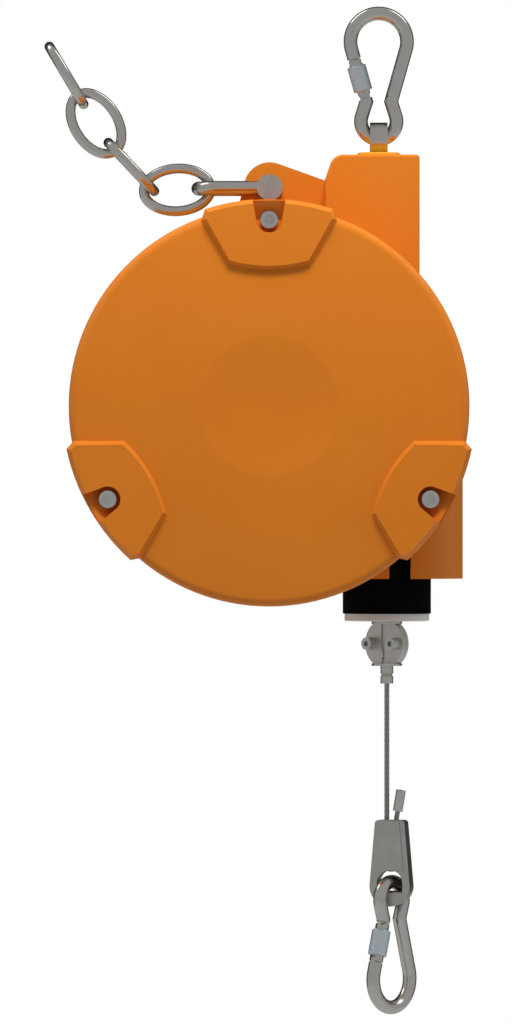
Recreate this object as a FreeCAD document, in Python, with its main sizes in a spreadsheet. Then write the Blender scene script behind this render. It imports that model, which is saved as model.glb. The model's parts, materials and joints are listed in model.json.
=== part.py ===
# Tool balancer: a spring-driven rope drum in a cast housing, hung from a snap hook, with a
# safety chain on the housing and a second snap hook on the load rope. Millimetres, +Z up,
# +X right, +Y to the back. The origin is the seat of the upper snap hook: the inner top of
# its big bow, where the balancer hangs.
import FreeCAD, Part
import Sketcher

import math
import os
import re

# Driving dimensions: alias, value, meaning. Angles are degrees.
SIZES = (
    # Snap hooks, one above and one below, alike.
    ("wire", 8.0, "snap hook wire diameter"),
    ("bow_radius", 16.4, "big bow radius, to the wire centre"),
    ("small_bow_radius", 10.3, "small bow radius, to the wire centre"),
    ("hook_span", 46.2, "small bow centre to big bow centre"),
    ("kink_half", 7.2, "half the distance between the kinks"),
    ("kink_rise", 11.45, "kinks above the small bow centre"),
    ("gate_pivot", 6.2, "gate pin, along the leg from the kink"),
    ("gate_end", 25.2, "free end of the gate, along the leg"),
    ("nose_gap", 0.6, "gap between gate and nose"),
    ("tongue", 3.0, "thickness of the hook's tongues"),
    ("tongue_play", 0.3, "play beside a tongue in its slot"),
    ("nose_reach", 2.4, "length of the nose tongue in the gate"),
    ("gate_pin", 2.4, "gate pin diameter"),
    ("sleeve_outer", 11.0, "locking sleeve diameter"),
    ("sleeve_length", 15.0, "locking sleeve length"),
    ("sleeve_place", 13.9, "locking sleeve middle, along the leg, unlocked"),
    ("sleeve_play", 0.1, "running fit of the sleeve on the gate"),
    # Swivel shank in the housing's block.
    ("shank_width", 10.1, "thickness of the shank's eye"),
    ("shank_rod", 9.9, "shank diameter below the eye"),
    ("eye_radius", 9.6, "outer radius of the shank's eye"),
    ("eye_play", 0.2, "play of the eye on the wire"),
    ("eye_flare", 5.5, "radius of the eye's rounded bore"),
    ("eye_drop", 7.9, "eye axis to the top of the bush"),
    ("shoulder_gap", 0.3, "shank shoulder above the bush"),
    ("bush_flange", 25.5, "bush flange diameter"),
    ("flange_height", 1.9, "bush flange thickness"),
    ("bush_outer", 16.0, "bush diameter in the block"),
    ("bush_play", 0.1, "running fit of the shank in its bush"),
    ("shelf", 16.0, "block material above the nut chamber"),
    ("bearing_outer", 24.0, "thrust bearing diameter"),
    ("bearing_height", 6.0, "thrust bearing height"),
    ("seat_gap", 0.1, "vertical play under the thrust bearing"),
    ("nut_flats", 17.0, "shank nut across flats"),
    ("nut_height", 10.0, "shank nut height"),
    ("split_pin", 2.5, "split pin diameter"),
    ("shank_tail", 4.0, "shank below its nut"),
    ("chamber_half", 15.0, "half width of the nut chamber"),
    ("chamber_room", 8.0, "chamber below the nut"),
    ("chamber_front", 14.0, "chamber depth in front of the shank"),
    # Housing.
    ("casing_x", -63.7, "casing axis from the suspension axis"),
    ("casing_drop", 145.9, "casing axis below the top of the block"),
    ("casing_radius", 114.8, "radius of the front cover"),
    ("rear_radius", 113.2, "radius of the rear housing"),
    ("parting", 31.0, "parting plane in front of the rope plane"),
    ("cover_depth", 36.0, "front cover depth at its rim"),
    ("rear_back", 41.0, "back wall behind the rope plane"),
    ("wall", 5.0, "casting wall"),
    ("rim_round", 5.0, "rounding of the front cover's rim"),
    ("back_round", 9.0, "rounding of the rear housing's edge"),
    ("face_rise", 1.2, "bulge of the cover's face"),
    ("dimple_radius", 40.2, "radius of the dished middle"),
    ("dimple_depth", 1.6, "depth of the dished middle"),
    ("dimple_land", 0.5, "flat ring round the dished middle"),
    ("block_right", 23.3, "right face of the block"),
    ("block_left", 31.4, "notch between block and ear, to the left"),
    ("block_half", 22.0, "half depth of the block"),
    ("block_shoulder", 20.5, "start of the block's left rounding"),
    ("block_edge", 1.5, "rounding of the block's edges"),
    ("notch_drop", 14.4, "notch below the top of the block"),
    ("bolt_x", -63.3, "chain bolt from the suspension axis"),
    ("bolt_drop", 18.9, "chain bolt below the top of the block"),
    ("ear_radius", 15.0, "ear radius about the bolt"),
    ("ear_half", 6.7, "half thickness of the ear"),
    ("ear_lean", 19.0, "slope of the ear's upper edge"),
    ("chute_drop", 99.2, "rope outlet's bottom below the casing axis"),
    ("chute_right", 112.4, "right side of the outlet from the casing axis"),
    ("chute_width", 88.0, "width of the outlet"),
    ("chute_back", 2.0, "back of the outlet in front of the back wall"),
    ("chute_round", 31.0, "front rounding of the outlet"),
    ("slot_left", 0.9, "left side of the outlet's front slot, from the rope"),
    ("slot_width", 12.4, "width of the outlet's front slot"),
    ("slot_height", 26.0, "height of the outlet's front slot"),
    ("hub_radius", 17.0, "radius of the housing's inner hub"),
    ("hub_length", 16.0, "length of the housing's inner hub"),
    ("rib_width", 4.0, "back ribs"),
    ("rib_height", 4.0, "height of the back ribs"),
    # Lobes and screws that join the two castings.
    ("screw_circle", 106.7, "radius of the cover screws' circle"),
    ("lobe_radius", 118.6, "outer radius of the lobes"),
    ("lobe_half", 38.7, "half width of a lobe at the rim"),
    ("lobe_inner", 79.2, "inner edge of a lobe"),
    ("lobe_inner_half", 24.4, "half width of a lobe at its inner edge"),
    ("lobe_bulge", 1.6, "bulge of the lobe's inner edge"),
    ("lobe_height", 4.4, "height of a lobe above the rim"),
    ("lobe_draft", 30.0, "draft of the lobe's sides"),
    ("recess_radius", 7.4, "recess about the screw"),
    ("recess_mouth", 9.9, "half width of the recess at the rim"),
    ("recess_depth", 10.0, "recess depth at the screw"),
    ("recess_slope", 5.0, "rise of the recess floor at the rim"),
    ("screw_size", 6.0, "cover screw diameter"),
    ("screw_head", 10.0, "cover screw head diameter"),
    ("screw_head_height", 6.0, "cover screw head height"),
    ("screw_hexagon", 5.0, "cover screw socket across flats"),
    ("screw_play", 0.3, "clearance round a cover screw"),
    ("screw_grip", 14.0, "thread in the rear housing"),
    ("boss_radius", 11.5, "screw boss radius"),
    ("boss_depth", 26.0, "rear screw boss depth"),
    # Drum, arbor, spring.
    ("drum_radius", 66.9, "drum under the rope"),
    ("drum_flange", 74.0, "drum flange radius"),
    ("drum_half", 14.0, "half width of the drum"),
    ("drum_wall", 4.0, "drum rim and web"),
    ("drum_hub", 17.0, "drum hub radius"),
    ("arbor", 16.0, "spring arbor diameter"),
    ("arbor_play", 0.1, "running fit on the arbor"),
    ("bearing_bush", 22.0, "drum bearing diameter"),
    ("bearing_length", 9.0, "drum bearing length"),
    ("case_radius", 88.0, "spring case radius"),
    ("case_wall", 2.5, "spring case wall"),
    ("case_front", 58.0, "front of the spring case"),
    ("spring_coils", 13.0, "radial build of the wound mainspring"),
    ("spring_gap", 1.0, "mainspring clear of the case's ends"),
    # Spring adjuster on the back.
    ("tooth_count", 30, "teeth of the worm wheel"),
    ("tooth_pitch", 4.2, "pitch of wheel and worm"),
    ("tooth_depth", 2.4, "depth of the teeth"),
    ("tooth_gap", 2.5, "gap between teeth at the tip circle"),
    ("thread_width", 0.88, "worm thread width"),
    ("worm_radius", 5.0, "pitch radius of the worm"),
    ("worm_shaft", 7.0, "worm shaft diameter"),
    ("worm_half", 12.0, "half length of the worm thread"),
    ("worm_reach", 31.0, "worm shaft to the right of the arbor"),
    ("wheel_width", 8.0, "worm wheel width"),
    ("gearbox_depth", 15.0, "gearbox behind the back wall"),
    ("gearbox_wall", 3.5, "gearbox wall"),
    ("gear_play", 0.8, "play inside the gearbox"),
    ("gear_cover", 3.0, "gearbox cover thickness"),
    # Rope, outlet buffer and rope stop.
    ("rope_gap", 0.3, "gap between lengths of rope that meet at an angle"),
    ("rope", 3.0, "rope diameter"),
    ("buffer_radius", 25.6, "rubber buffer radius"),
    ("buffer_drop", 20.3, "rubber buffer below the outlet"),
    ("buffer_grip", 17.0, "rubber buffer inside the outlet"),
    ("buffer_play", 0.3, "buffer clear of its bore"),
    ("guide_radius", 24.5, "rope guide flange radius"),
    ("guide_height", 4.3, "rope guide flange thickness"),
    ("guide_neck", 6.0, "rope guide neck radius"),
    ("rope_room", 1.0, "rope clear of its guide"),
    ("stop_gap", 0.3, "rope stop below the guide"),
    ("stop_plate", 8.9, "radius of the stop's end plates"),
    ("stop_plate_height", 1.4, "thickness of the stop's end plates"),
    ("stop_radius", 14.0, "radius of the clamp halves"),
    ("stop_height", 22.9, "height of the clamp halves"),
    ("stop_half", 2.8, "thickness of a clamp half"),
    ("stop_turn", 40.0, "turn of the clamp about the rope"),
    ("stop_groove", 4.0, "width of the clamp's front groove"),
    ("stop_groove_depth", 1.0, "depth of the clamp's front groove"),
    ("clamp_screws", 17.6, "distance between the clamp screws"),
    ("clamp_screw", 4.0, "clamp screw diameter"),
    ("clamp_head", 7.2, "clamp screw head diameter"),
    ("clamp_head_height", 5.6, "clamp screw head height"),
    ("clamp_tail", 2.4, "clamp screw past the rear half"),
    ("ferrule_radius", 3.75, "ferrule radius"),
    ("ferrule_height", 10.3, "ferrule height"),
    ("ferrule_neck", 0.7, "depth of the ferrule's waist"),
    ("free_rope", 79.1, "rope from the ferrule to the wedge socket"),
    # Wedge socket.
    ("socket_turn", 14.5, "turn of the socket about the rope"),
    ("socket_top_half", 8.85, "half width of the socket's top"),
    ("socket_low_half", 12.0, "half width of the socket at its eye"),
    ("socket_length", 38.1, "top to the centre of the rounded end"),
    ("socket_half", 5.0, "half thickness of the socket's rims"),
    ("panel_rise", 0.7, "raised panel on the socket's faces"),
    ("rope_side", 2.8, "rope from the socket's middle at its mouth"),
    ("wedge_drop", 22.0, "centre of the wedge's round end below the top"),
    ("wedge_radius", 4.9, "radius of the wedge's round end"),
    ("wedge_half", 1.5, "half thickness of the wedge"),
    ("rope_seat", 0.2, "rope clear of wedge and socket"),
    ("eye_top", 28.9, "top of the socket's eye below the mouth"),
    ("eye_half", 7.6, "half width of the socket's eye"),
    ("bar_top", 41.0, "cross bar below the mouth"),
    ("bar_half", 3.9, "half thickness of the cross bar"),
    ("dead_lean", 9.4, "lean of the rope's dead end"),
    ("dead_length", 17.5, "dead end above the mouth"),
    ("dead_ferrule", 2.85, "radius of the dead end's ferrule"),
    ("dead_ferrule_height", 12.2, "height of the dead end's ferrule"),
    ("hook_turn", 49.0, "turn of the load hook about the rope"),
    ("hook_seat", 1.2, "load hook above the cross bar"),
    # Safety chain.
    ("shackle_leg", 11.0, "shackle legs from the middle plane"),
    ("shackle_length", 41.4, "bolt to the shackle's bow"),
    ("shackle_eye", 7.5, "shackle eye radius"),
    ("shackle_eye_width", 7.6, "shackle eye thickness"),
    ("bolt_size", 8.0, "chain bolt diameter"),
    ("bolt_head", 7.5, "chain bolt head radius"),
    ("bolt_head_height", 4.5, "chain bolt head height"),
    ("bolt_slot", 3.2, "chain bolt slot width"),
    ("bolt_slot_depth", 1.6, "chain bolt slot depth"),
    ("bolt_slot_lean", 20.0, "lean of the chain bolt's slot"),
    ("bolt_play", 0.2, "running fit on the chain bolt"),
    ("bolt_nut_flats", 13.0, "chain bolt nut across flats"),
    ("bolt_nut_height", 6.5, "chain bolt nut height"),
    ("link_wire", 5.8, "chain wire diameter"),
    ("link_long", 19.4, "link half length, to the wire centre"),
    ("link_short", 12.35, "link half width, to the wire centre"),
    ("link_play", 0.3, "play between links"),
    ("link_two_lean", 183.5, "direction of the second link"),
    ("link_three_lean", 133.4, "direction of the third link"),
    ("link_four_lean", 122.8, "direction of the fourth link"),
    ("link_five_lean", 120.7, "direction of the fifth link"),
)

# Places that follow from the sizes.
PLACES = {
    # Snap hook, in its own frame: origin at the small bow's wire, +Z towards the big bow.
    "kink_z": "small_bow_radius + kink_rise",
    "bow_z": "small_bow_radius + hook_span",
    "upper_reach": "sqrt(kink_half ^ 2 + (hook_span - kink_rise) ^ 2)",
    "lower_reach": "sqrt(kink_half ^ 2 + kink_rise ^ 2)",
    "upper_turn": "atan2(hook_span - kink_rise; kink_half)",
    "leg_lean": "(upper_turn - acos(bow_radius / upper_reach)) / (1 deg)",
    "lower_turn": "atan2(kink_rise; kink_half)",
    "flare_turn": "(lower_turn - acos(small_bow_radius / lower_reach)) / (1 deg)",
    "nose_start": "gate_end + nose_gap",
    "foot_end": "gate_pivot - wire / 2 - nose_gap",
    # Suspension, from the top.
    "eye_z": "wire / 2 - bow_radius - hook_span - small_bow_radius",
    "block_top": "eye_z - eye_drop - flange_height",
    "shelf_z": "block_top - shelf",
    "nut_top": "shelf_z - bearing_height - seat_gap",
    "shank_end": "nut_top - nut_height - shank_tail",
    "casing_z": "block_top - casing_drop",
    "bolt_z": "block_top - bolt_drop",
    # Rope line, from the top.
    "rope_x": "casing_x + drum_radius + rope / 2",
    "rope_offset": "drum_radius + rope / 2",
    "chute_z": "casing_z - chute_drop",
    "buffer_z": "chute_z - buffer_drop",
    "guide_z": "buffer_z - guide_height",
    "stop_top": "guide_z - stop_gap",
    "clamp_z": "stop_top - stop_plate_height - stop_height / 2",
    "ferrule_top": "clamp_z - stop_height / 2 - stop_plate_height",
    "socket_z": "ferrule_top - ferrule_height - free_rope",
    "socket_x": "rope_x + rope_side * cos(socket_turn)",
    "socket_y": "-rope_side * sin(socket_turn)",
    "loop_radius": "wedge_radius + rope_seat + rope / 2",
    "slot_half": "rope / 2 + rope_seat",
    "bar_bottom": "socket_length + socket_low_half",
    # Casing.
    "cavity_radius": "rear_radius - wall",
    "face_y": "parting + cover_depth",
    "lobe_y": "face_y + lobe_height",
    "arbor_front": "face_y - wall - seat_gap",
    "seat_y": "lobe_y - recess_depth",
    # Adjuster.
    "wheel_radius": "tooth_count * tooth_pitch / (2 * pi)",
    "worm_z": "wheel_radius + worm_radius",
    "wheel_y": "rear_back + gearbox_depth / 2",
    "gearbox_radius": "wheel_radius + tooth_depth / 2 + gear_play + gearbox_wall",
}

UP = FreeCAD.Vector(0, 0, 1)
RIGHT = FreeCAD.Vector(1, 0, 0)
BACK = FreeCAD.Vector(0, 1, 0)
WORD = re.compile(r"[a-z][a-z_]*")
OVERCUT = "1"

doc = FreeCAD.newDocument("tool_balancer")
sheet = doc.addObject("Spreadsheet::Sheet", "sizes")
for row, (alias, amount, meaning) in enumerate(SIZES, 1):
    sheet.set(f"A{row}", meaning)
    sheet.set(f"B{row}", str(amount))
    sheet.setAlias(f"B{row}", alias)
doc.recompute()
ALIASES = {alias for alias, amount, meaning in SIZES}
pieces = []


def bind(text):
    """The expression for a size or place, with each name led back to the sheet."""

    def spelled(found):
        word = found.group(0)
        if word in PLACES:
            return "(" + bind(PLACES[word]) + ")"
        return "sizes." + word if word in ALIASES else word

    return WORD.sub(spelled, str(text))


def value(text):
    """The present value of a size or place, in millimetres or degrees."""
    found = sheet.evalExpression(bind(text))
    return float(getattr(found, "Value", found))


def place(x="0", y="0", z="0", axis=UP, turn="0"):
    """A placement at a point, turned about an axis."""
    at = FreeCAD.Vector(value(x), value(y), value(z))
    return FreeCAD.Placement(at, FreeCAD.Rotation(axis, value(turn)))


def flat(x, y):
    """A point of a sketch, in the sketch's own plane."""
    return FreeCAD.Vector(value(x), value(y), 0)


def polar(radius, angle, x="0", y="0"):
    """The expressions of a point at a radius and angle from another point."""
    return f"({x}) + ({radius}) * cos({angle})", f"({y}) + ({radius}) * sin({angle})"


def pin_point(sketch, number, end, x, y):
    """Fixes a sketch point by its two distances from the sketch's origin."""
    for kind, text in (("DistanceX", x), ("DistanceY", y)):
        rule = Sketcher.Constraint(kind, -1, 1, number, end, value(text))
        sketch.setExpression(f"Constraints[{sketch.addConstraint(rule)}]", bind(text))


def draw_circle(sketch, x, y, radius):
    """A circle bound to the sheet."""
    number = sketch.addGeometry(Part.Circle(flat(x, y), UP, value(radius)))
    pin_point(sketch, number, 3, x, y)
    rule = Sketcher.Constraint("Radius", number, value(radius))
    sketch.setExpression(f"Constraints[{sketch.addConstraint(rule)}]", bind(radius))


def draw_arc(sketch, start, middle, stop):
    """An arc through three points. Returns its number and which ends are start and stop."""
    arc = Part.Arc(start, middle, stop).toShape().Curve
    turn = (middle - start).cross(stop - middle).z
    first, last = (start, stop) if turn > 0 else (stop, start)
    angles = [math.atan2(p.y - arc.Center.y, p.x - arc.Center.x) for p in (first, last)]
    if angles[1] <= angles[0]:
        angles[1] += 2 * math.pi
    circle = Part.Circle(arc.Center, UP, arc.Radius)
    number = sketch.addGeometry(Part.ArcOfCircle(circle, *angles))
    return (number, 1, 2) if turn > 0 else (number, 2, 1)


def draw_path(sketch, points, closed=True):
    """Lines and arcs through points. A point is (x, y); (x, y, x, y) is an arc by way of
    the first pair. A closed path's first segment starts at its last point."""
    ends = [flat(*p[-2:]) for p in points]
    drawn = []
    for i in range(0 if closed else 1, len(points)):
        if len(points[i]) == 2:
            line = Part.LineSegment(ends[i - 1], ends[i])
            drawn.append((sketch.addGeometry(line), 1, 2))
            continue
        middle = points[i][:2]
        arc = draw_arc(sketch, ends[i - 1], flat(*middle), ends[i])
        guide = sketch.addGeometry(Part.Point(flat(*middle)), True)
        pin_point(sketch, guide, 1, *middle)
        sketch.addConstraint(Sketcher.Constraint("PointOnObject", guide, 1, arc[0]))
        drawn.append(arc)
    for i, (number, start, stop) in enumerate(drawn):
        if i + 1 < len(drawn) or closed:
            after = drawn[(i + 1) % len(drawn)]
            joint = Sketcher.Constraint("Coincident", number, stop, after[0], after[1])
            sketch.addConstraint(joint)
    if not closed:
        pin_point(sketch, drawn[0][0], drawn[0][1], *points[0])
    for (number, start, stop), point in zip(drawn, points if closed else points[1:]):
        pin_point(sketch, number, stop, *point[-2:])


class SubPart:
    """One piece of the balancer: a PartDesign body built feature by feature."""

    def __init__(self, label, placement=None):
        self.body = doc.addObject("PartDesign::Body", label)
        self.body.Label = label
        self.body.Placement = placement or FreeCAD.Placement()
        self.planes = {plane.Role: plane for plane in self.body.Origin.OriginFeatures}
        pieces.append(self.body)

    def sketch(self, plane, lift="0", turn="0"):
        """An empty sketch on an origin plane, lifted along the plane's normal."""
        made = self.body.newObject("Sketcher::SketchObject", "Sketch")
        made.AttachmentSupport = [(self.planes[plane], "")]
        made.MapMode = "FlatFace"
        made.AttachmentOffset = FreeCAD.Placement(
            FreeCAD.Vector(0, 0, value(lift)), FreeCAD.Rotation(UP, value(turn))
        )
        made.setExpression("AttachmentOffset.Base.z", bind(lift))
        return made

    def outline(self, plane, *loops, lift="0", turn="0"):
        """A sketch of closed loops: a loop is (x, y, radius) or a list of points."""
        made = self.sketch(plane, lift, turn)
        for loop in loops:
            if isinstance(loop, tuple):
                draw_circle(made, *loop)
            else:
                draw_path(made, loop)
        return made

    def feature(self, kind, profile, **bound):
        """A feature on a profile. The solid must grow or shrink as the kind says."""
        before = self.volume()
        made = self.body.newObject("PartDesign::" + kind, kind)
        made.Profile = profile
        for name, setting in bound.pop("options", {}).items():
            setattr(made, name, setting)
        for name, text in bound.items():
            made.setExpression(name, bind(text))
        doc.recompute()
        change = self.volume() - before
        cuts = kind in ("Pocket", "Groove")
        if "Invalid" in made.State or (change >= 0 if cuts else change <= 0):
            raise RuntimeError(f"{self.body.Label}: {made.Name} changed {change:.1f} mm3")
        return made

    def volume(self):
        """The body's present volume."""
        shape = self.body.Shape
        return 0.0 if shape.isNull() else shape.Volume

    def pad(self, profile, length, away=False, both=False, **bound):
        """Adds a prism along the sketch's normal, away from it, or to both sides."""
        options = {"Reversed": away, "SideType": "Symmetric" if both else "One side"}
        return self.feature("Pad", profile, Length=length, options=options, **bound)

    def pocket(self, profile, length, along=False, both=False, **bound):
        """Cuts a prism against the sketch's normal, along it, or to both sides."""
        options = {"Reversed": along, "SideType": "Symmetric" if both else "One side"}
        return self.feature("Pocket", profile, Length=length, options=options, **bound)

    def revolve(self, profile, axis="V_Axis"):
        """Adds a full turn of a profile about one of its sketch's axes."""
        options = {"ReferenceAxis": (profile, [axis]), "Angle": 360}
        return self.feature("Revolution", profile, options=options)

    def groove(self, profile, axis="V_Axis"):
        """Cuts a full turn of a profile about one of its sketch's axes."""
        options = {"ReferenceAxis": (profile, [axis]), "Angle": 360}
        return self.feature("Groove", profile, options=options)

    def tube(self, plane, points, radius):
        """Sweeps a round section along an open path with mitred corners."""
        spine = self.sketch(plane)
        draw_path(spine, points, closed=False)
        doc.recompute()
        section = self.body.newObject("Sketcher::SketchObject", "Section")
        section.AttachmentSupport = [(spine, "Edge1")]
        section.MapMode = "NormalToEdge"
        draw_circle(section, "0", "0", radius)
        doc.recompute()
        options = {"Spine": (spine, []), "Transition": "Right corner"}
        return self.feature("AdditivePipe", section, options=options)

    def pattern(self, features, count, plane="XZ_Plane"):
        """Repeats features evenly about the normal of an origin plane."""
        axes = {"XY_Plane": "Z_Axis", "XZ_Plane": "Y_Axis", "YZ_Plane": "X_Axis"}
        made = self.body.newObject("PartDesign::PolarPattern", "PolarPattern")
        made.Originals = features
        made.Axis = (self.planes[axes[plane]], [""])
        made.Angle = 360
        made.Occurrences = count
        self.body.Tip = made
        doc.recompute()
        return made

    def dress(self, kind, size, chosen):
        """A Fillet or Chamfer on the edges that a test chooses."""
        base = self.body.Tip
        names = [
            f"Edge{i}" for i, edge in enumerate(base.Shape.Edges, 1) if chosen(edge)
        ]
        made = self.body.newObject("PartDesign::" + kind, kind)
        made.Base = (base, names)
        made.setExpression("Radius" if kind == "Fillet" else "Size", bind(size))
        doc.recompute()
        return made


# Snap hooks: a bent wire frame, a gate pinned into it, and a sleeve that locks the gate.
def on_leg(along, across, side="-1"):
    """A point by its distances along and across the gate's leg, from the kink."""
    x = f"{side} * (kink_half + ({along}) * sin(leg_lean)) + ({across}) * cos(leg_lean)"
    return x, f"kink_z + ({along}) * cos(leg_lean) + ({across}) * sin(leg_lean)"


def hook_frame(label, placement):
    """The wire, from the gate's foot round the small bow and the big bow to the nose."""
    frame = SubPart(label, placement)
    low = "small_bow_radius"
    right = polar(low, "flare_turn", y=low)
    left = polar(low, "180 - flare_turn", y=low)
    shoulder = polar("bow_radius", "-leg_lean", y="bow_z")
    far_shoulder = polar("bow_radius", "180 + leg_lean", y="bow_z")
    long_way = [
        ("0", "0"),
        (*polar(low, "-45", y=low), *right),
        ("kink_half", "kink_z"),
        shoulder,
        ("0", "bow_z + bow_radius", *far_shoulder),
        on_leg("nose_start", "0"),
    ]
    short_way = [
        ("0", "0"),
        (*polar(low, "225", y=low), *left),
        ("-kink_half", "kink_z"),
        on_leg("foot_end", "0"),
    ]
    frame.tube("XZ_Plane", long_way, "wire / 2")
    frame.tube("XZ_Plane", short_way, "wire / 2")
    half = "(wire / 2 - 1)"
    foot = [
        on_leg("foot_end - 1", f"-{half}"),
        on_leg("foot_end - 1", half),
        on_leg("gate_pivot", half),
        (*on_leg(f"gate_pivot + {half}", "0"), *on_leg("gate_pivot", f"-{half}")),
    ]
    nose = [
        on_leg("nose_start + 1", f"-{half}"),
        on_leg("nose_start + 1", half),
        on_leg("gate_end - nose_reach", half),
        on_leg("gate_end - nose_reach", f"-{half}"),
    ]
    frame.pad(frame.outline("XZ_Plane", foot, nose), "tongue", both=True)
    hole = (*on_leg("gate_pivot", "0"), "gate_pin / 2")
    frame.pocket(frame.outline("XZ_Plane", hole), "wire", both=True)


def leg_place(placement):
    """The placement of the gate's leg: its origin at the kink, +Z along the leg."""
    return placement.multiply(place("-kink_half", "0", "kink_z", BACK, "-leg_lean"))


def hook_gate(label, placement):
    """A rod slotted at both ends, rounded about its pin."""
    gate = SubPart(label, leg_place(placement))
    rod = gate.outline("XY_Plane", ("0", "0", "wire / 2"), lift="gate_pivot - wire / 2")
    gate.pad(rod, "gate_end - gate_pivot + wire / 2")
    gate.dress("Chamfer", "0.4", lambda e: abs(e.BoundBox.ZMin - value("gate_end")) < 0.01)
    half = "wire / 2"
    corners = [
        (f"-{half}", "gate_pivot"),
        ("0", f"gate_pivot - {half}", half, "gate_pivot"),
        (f"{half} + {OVERCUT}", "gate_pivot"),
        (f"{half} + {OVERCUT}", f"gate_pivot - {half} - {OVERCUT}"),
        (f"-{half} - {OVERCUT}", f"gate_pivot - {half} - {OVERCUT}"),
        (f"-{half} - {OVERCUT}", "gate_pivot"),
    ]
    gate.pocket(gate.outline("XZ_Plane", corners), "2 * wire", both=True)
    side = "tongue / 2 + tongue_play"
    slots = []
    for low, high in (
        (f"gate_pivot - {half} - {OVERCUT}", f"gate_pivot + {half}"),
        ("gate_end - nose_reach - 2 * tongue_play", f"gate_end + {OVERCUT}"),
    ):
        slots.append([(f"-({side})", low), (side, low), (side, high), (f"-({side})", high)])
    gate.pocket(gate.outline("YZ_Plane", *slots), "2 * wire", both=True)
    hole = ("0", "gate_pivot", "gate_pin / 2")
    gate.pocket(gate.outline("XZ_Plane", hole), "2 * wire", both=True)


def hook_pin(label, placement):
    """The gate's pin, riveted flush with the gate."""
    pin = SubPart(label, placement)
    section = pin.outline("XZ_Plane", (*on_leg("gate_pivot", "0"), "gate_pin / 2 - 0.05"))
    pin.pad(section, "wire - 1", both=True)


def hook_sleeve(label, placement):
    """The locking sleeve, unlocked, near the foot of the gate."""
    sleeve = SubPart(label, leg_place(placement))
    bore = "wire / 2 + sleeve_play"
    half = "sleeve_length / 2"
    edge = "0.4"
    wall = [
        (bore, f"sleeve_place - {half}"),
        (f"sleeve_outer / 2 - {edge}", f"sleeve_place - {half}"),
        ("sleeve_outer / 2", f"sleeve_place - {half} + {edge}"),
        ("sleeve_outer / 2", f"sleeve_place + {half} - {edge}"),
        (f"sleeve_outer / 2 - {edge}", f"sleeve_place + {half}"),
        (bore, f"sleeve_place + {half}"),
    ]
    sleeve.revolve(sleeve.outline("XZ_Plane", wall))


def snap_hook(prefix, placement):
    """One snap hook: frame, gate, pin and sleeve."""
    hook_frame(prefix + "_frame", placement)
    hook_gate(prefix + "_gate", placement)
    hook_pin(prefix + "_gate_pin", placement)
    hook_sleeve(prefix + "_sleeve", placement)


# Suspension: the swivel shank, its bush and bearing in the block, and its nut.
def suspension_shank():
    """An eye with a rounded bore on a round shank."""
    shank = SubPart("suspension_shank", place(z="eye_z"))
    half = "shank_width / 2"
    bore = "wire / 2 + eye_play"
    mouth = f"{bore} + eye_flare - sqrt(eye_flare ^ 2 - ({half}) ^ 2)"
    shank.pad(shank.outline("YZ_Plane", ("0", "0", "eye_radius")), "shank_width", both=True)
    start = "eye_drop - shoulder_gap"
    rod = shank.outline("XY_Plane", ("0", "0", "shank_rod / 2"), lift=f"-({start})")
    shank.pad(rod, f"eye_z - shank_end - ({start})", away=True)
    past = [
        ("shank_rod / 2", f"-({start})"),
        ("eye_radius + 1", f"-({start})"),
        ("eye_radius + 1", "-eye_radius - 1"),
        ("shank_rod / 2", "-eye_radius - 1"),
    ]
    shank.groove(shank.outline("XZ_Plane", past))
    eye = [
        (f"-{half}", "0"),
        (f"-{half}", mouth),
        ("0", bore, half, mouth),
        (half, "0"),
    ]
    shank.groove(shank.outline("XY_Plane", eye), "H_Axis")
    hole = ("0", "nut_top - nut_height * 0.75 - eye_z", "split_pin / 2 + 0.1")
    shank.pocket(shank.outline("YZ_Plane", hole), "2 * shank_width", both=True)


def ring(label, placement, inner, outer, low, high, edge="0"):
    """A turned ring about +Z, with an optional chamfer on its upper outer edge."""
    made = SubPart(label, placement)
    wall = [(inner, low), (outer, low), (outer, f"{high} - ({edge})")]
    if edge != "0":
        wall.append((f"{outer} - ({edge})", high))
    made.revolve(made.outline("XZ_Plane", wall + [(inner, high)]))
    return made


def shank_bush():
    """The flanged bush that the shank turns in."""
    bush = SubPart("shank_bush", place(z="block_top"))
    bore = "shank_rod / 2 + bush_play"
    wall = [
        (bore, "-shelf"),
        ("bush_outer / 2", "-shelf"),
        ("bush_outer / 2", "0"),
        ("bush_flange / 2", "0"),
        ("bush_flange / 2", "flange_height - 1"),
        ("bush_flange / 2 - 1", "flange_height"),
        (bore, "flange_height"),
    ]
    bush.revolve(bush.outline("XZ_Plane", wall))


def hexagon(flats, x="0", y="0"):
    """A hexagon's corners, one of them up, by its width across flats."""
    return [polar(f"({flats}) / sqrt(3)", 30 + 60 * i, x, y) for i in range(6)]


def shank_nut():
    """A castle nut, its slots in line with the split pin."""
    nut = SubPart("shank_nut", place(z="nut_top"))
    blank = nut.outline("XY_Plane", hexagon("nut_flats"), ("0", "0", "shank_rod / 2 + 0.05"))
    nut.pad(blank, "nut_height", away=True)
    half = "split_pin / 2 + 0.2"
    slot = [
        (f"-({half})", "-nut_height - 1"),
        (half, "-nut_height - 1"),
        (half, "-nut_height * 0.75 + split_pin / 2 + 0.2"),
        (f"-({half})", "-nut_height * 0.75 + split_pin / 2 + 0.2"),
    ]
    cut = nut.pocket(nut.outline("YZ_Plane", slot), "2 * nut_flats", both=True)
    nut.pattern([cut], 3, "XY_Plane")


def shank_split_pin():
    """The pin that keeps the nut from turning."""
    pin = SubPart("shank_split_pin", place(z="nut_top"))
    section = pin.outline("YZ_Plane", ("0", "-nut_height * 0.75", "split_pin / 2"))
    pin.pad(section, "nut_flats + 1", both=True)


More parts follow.
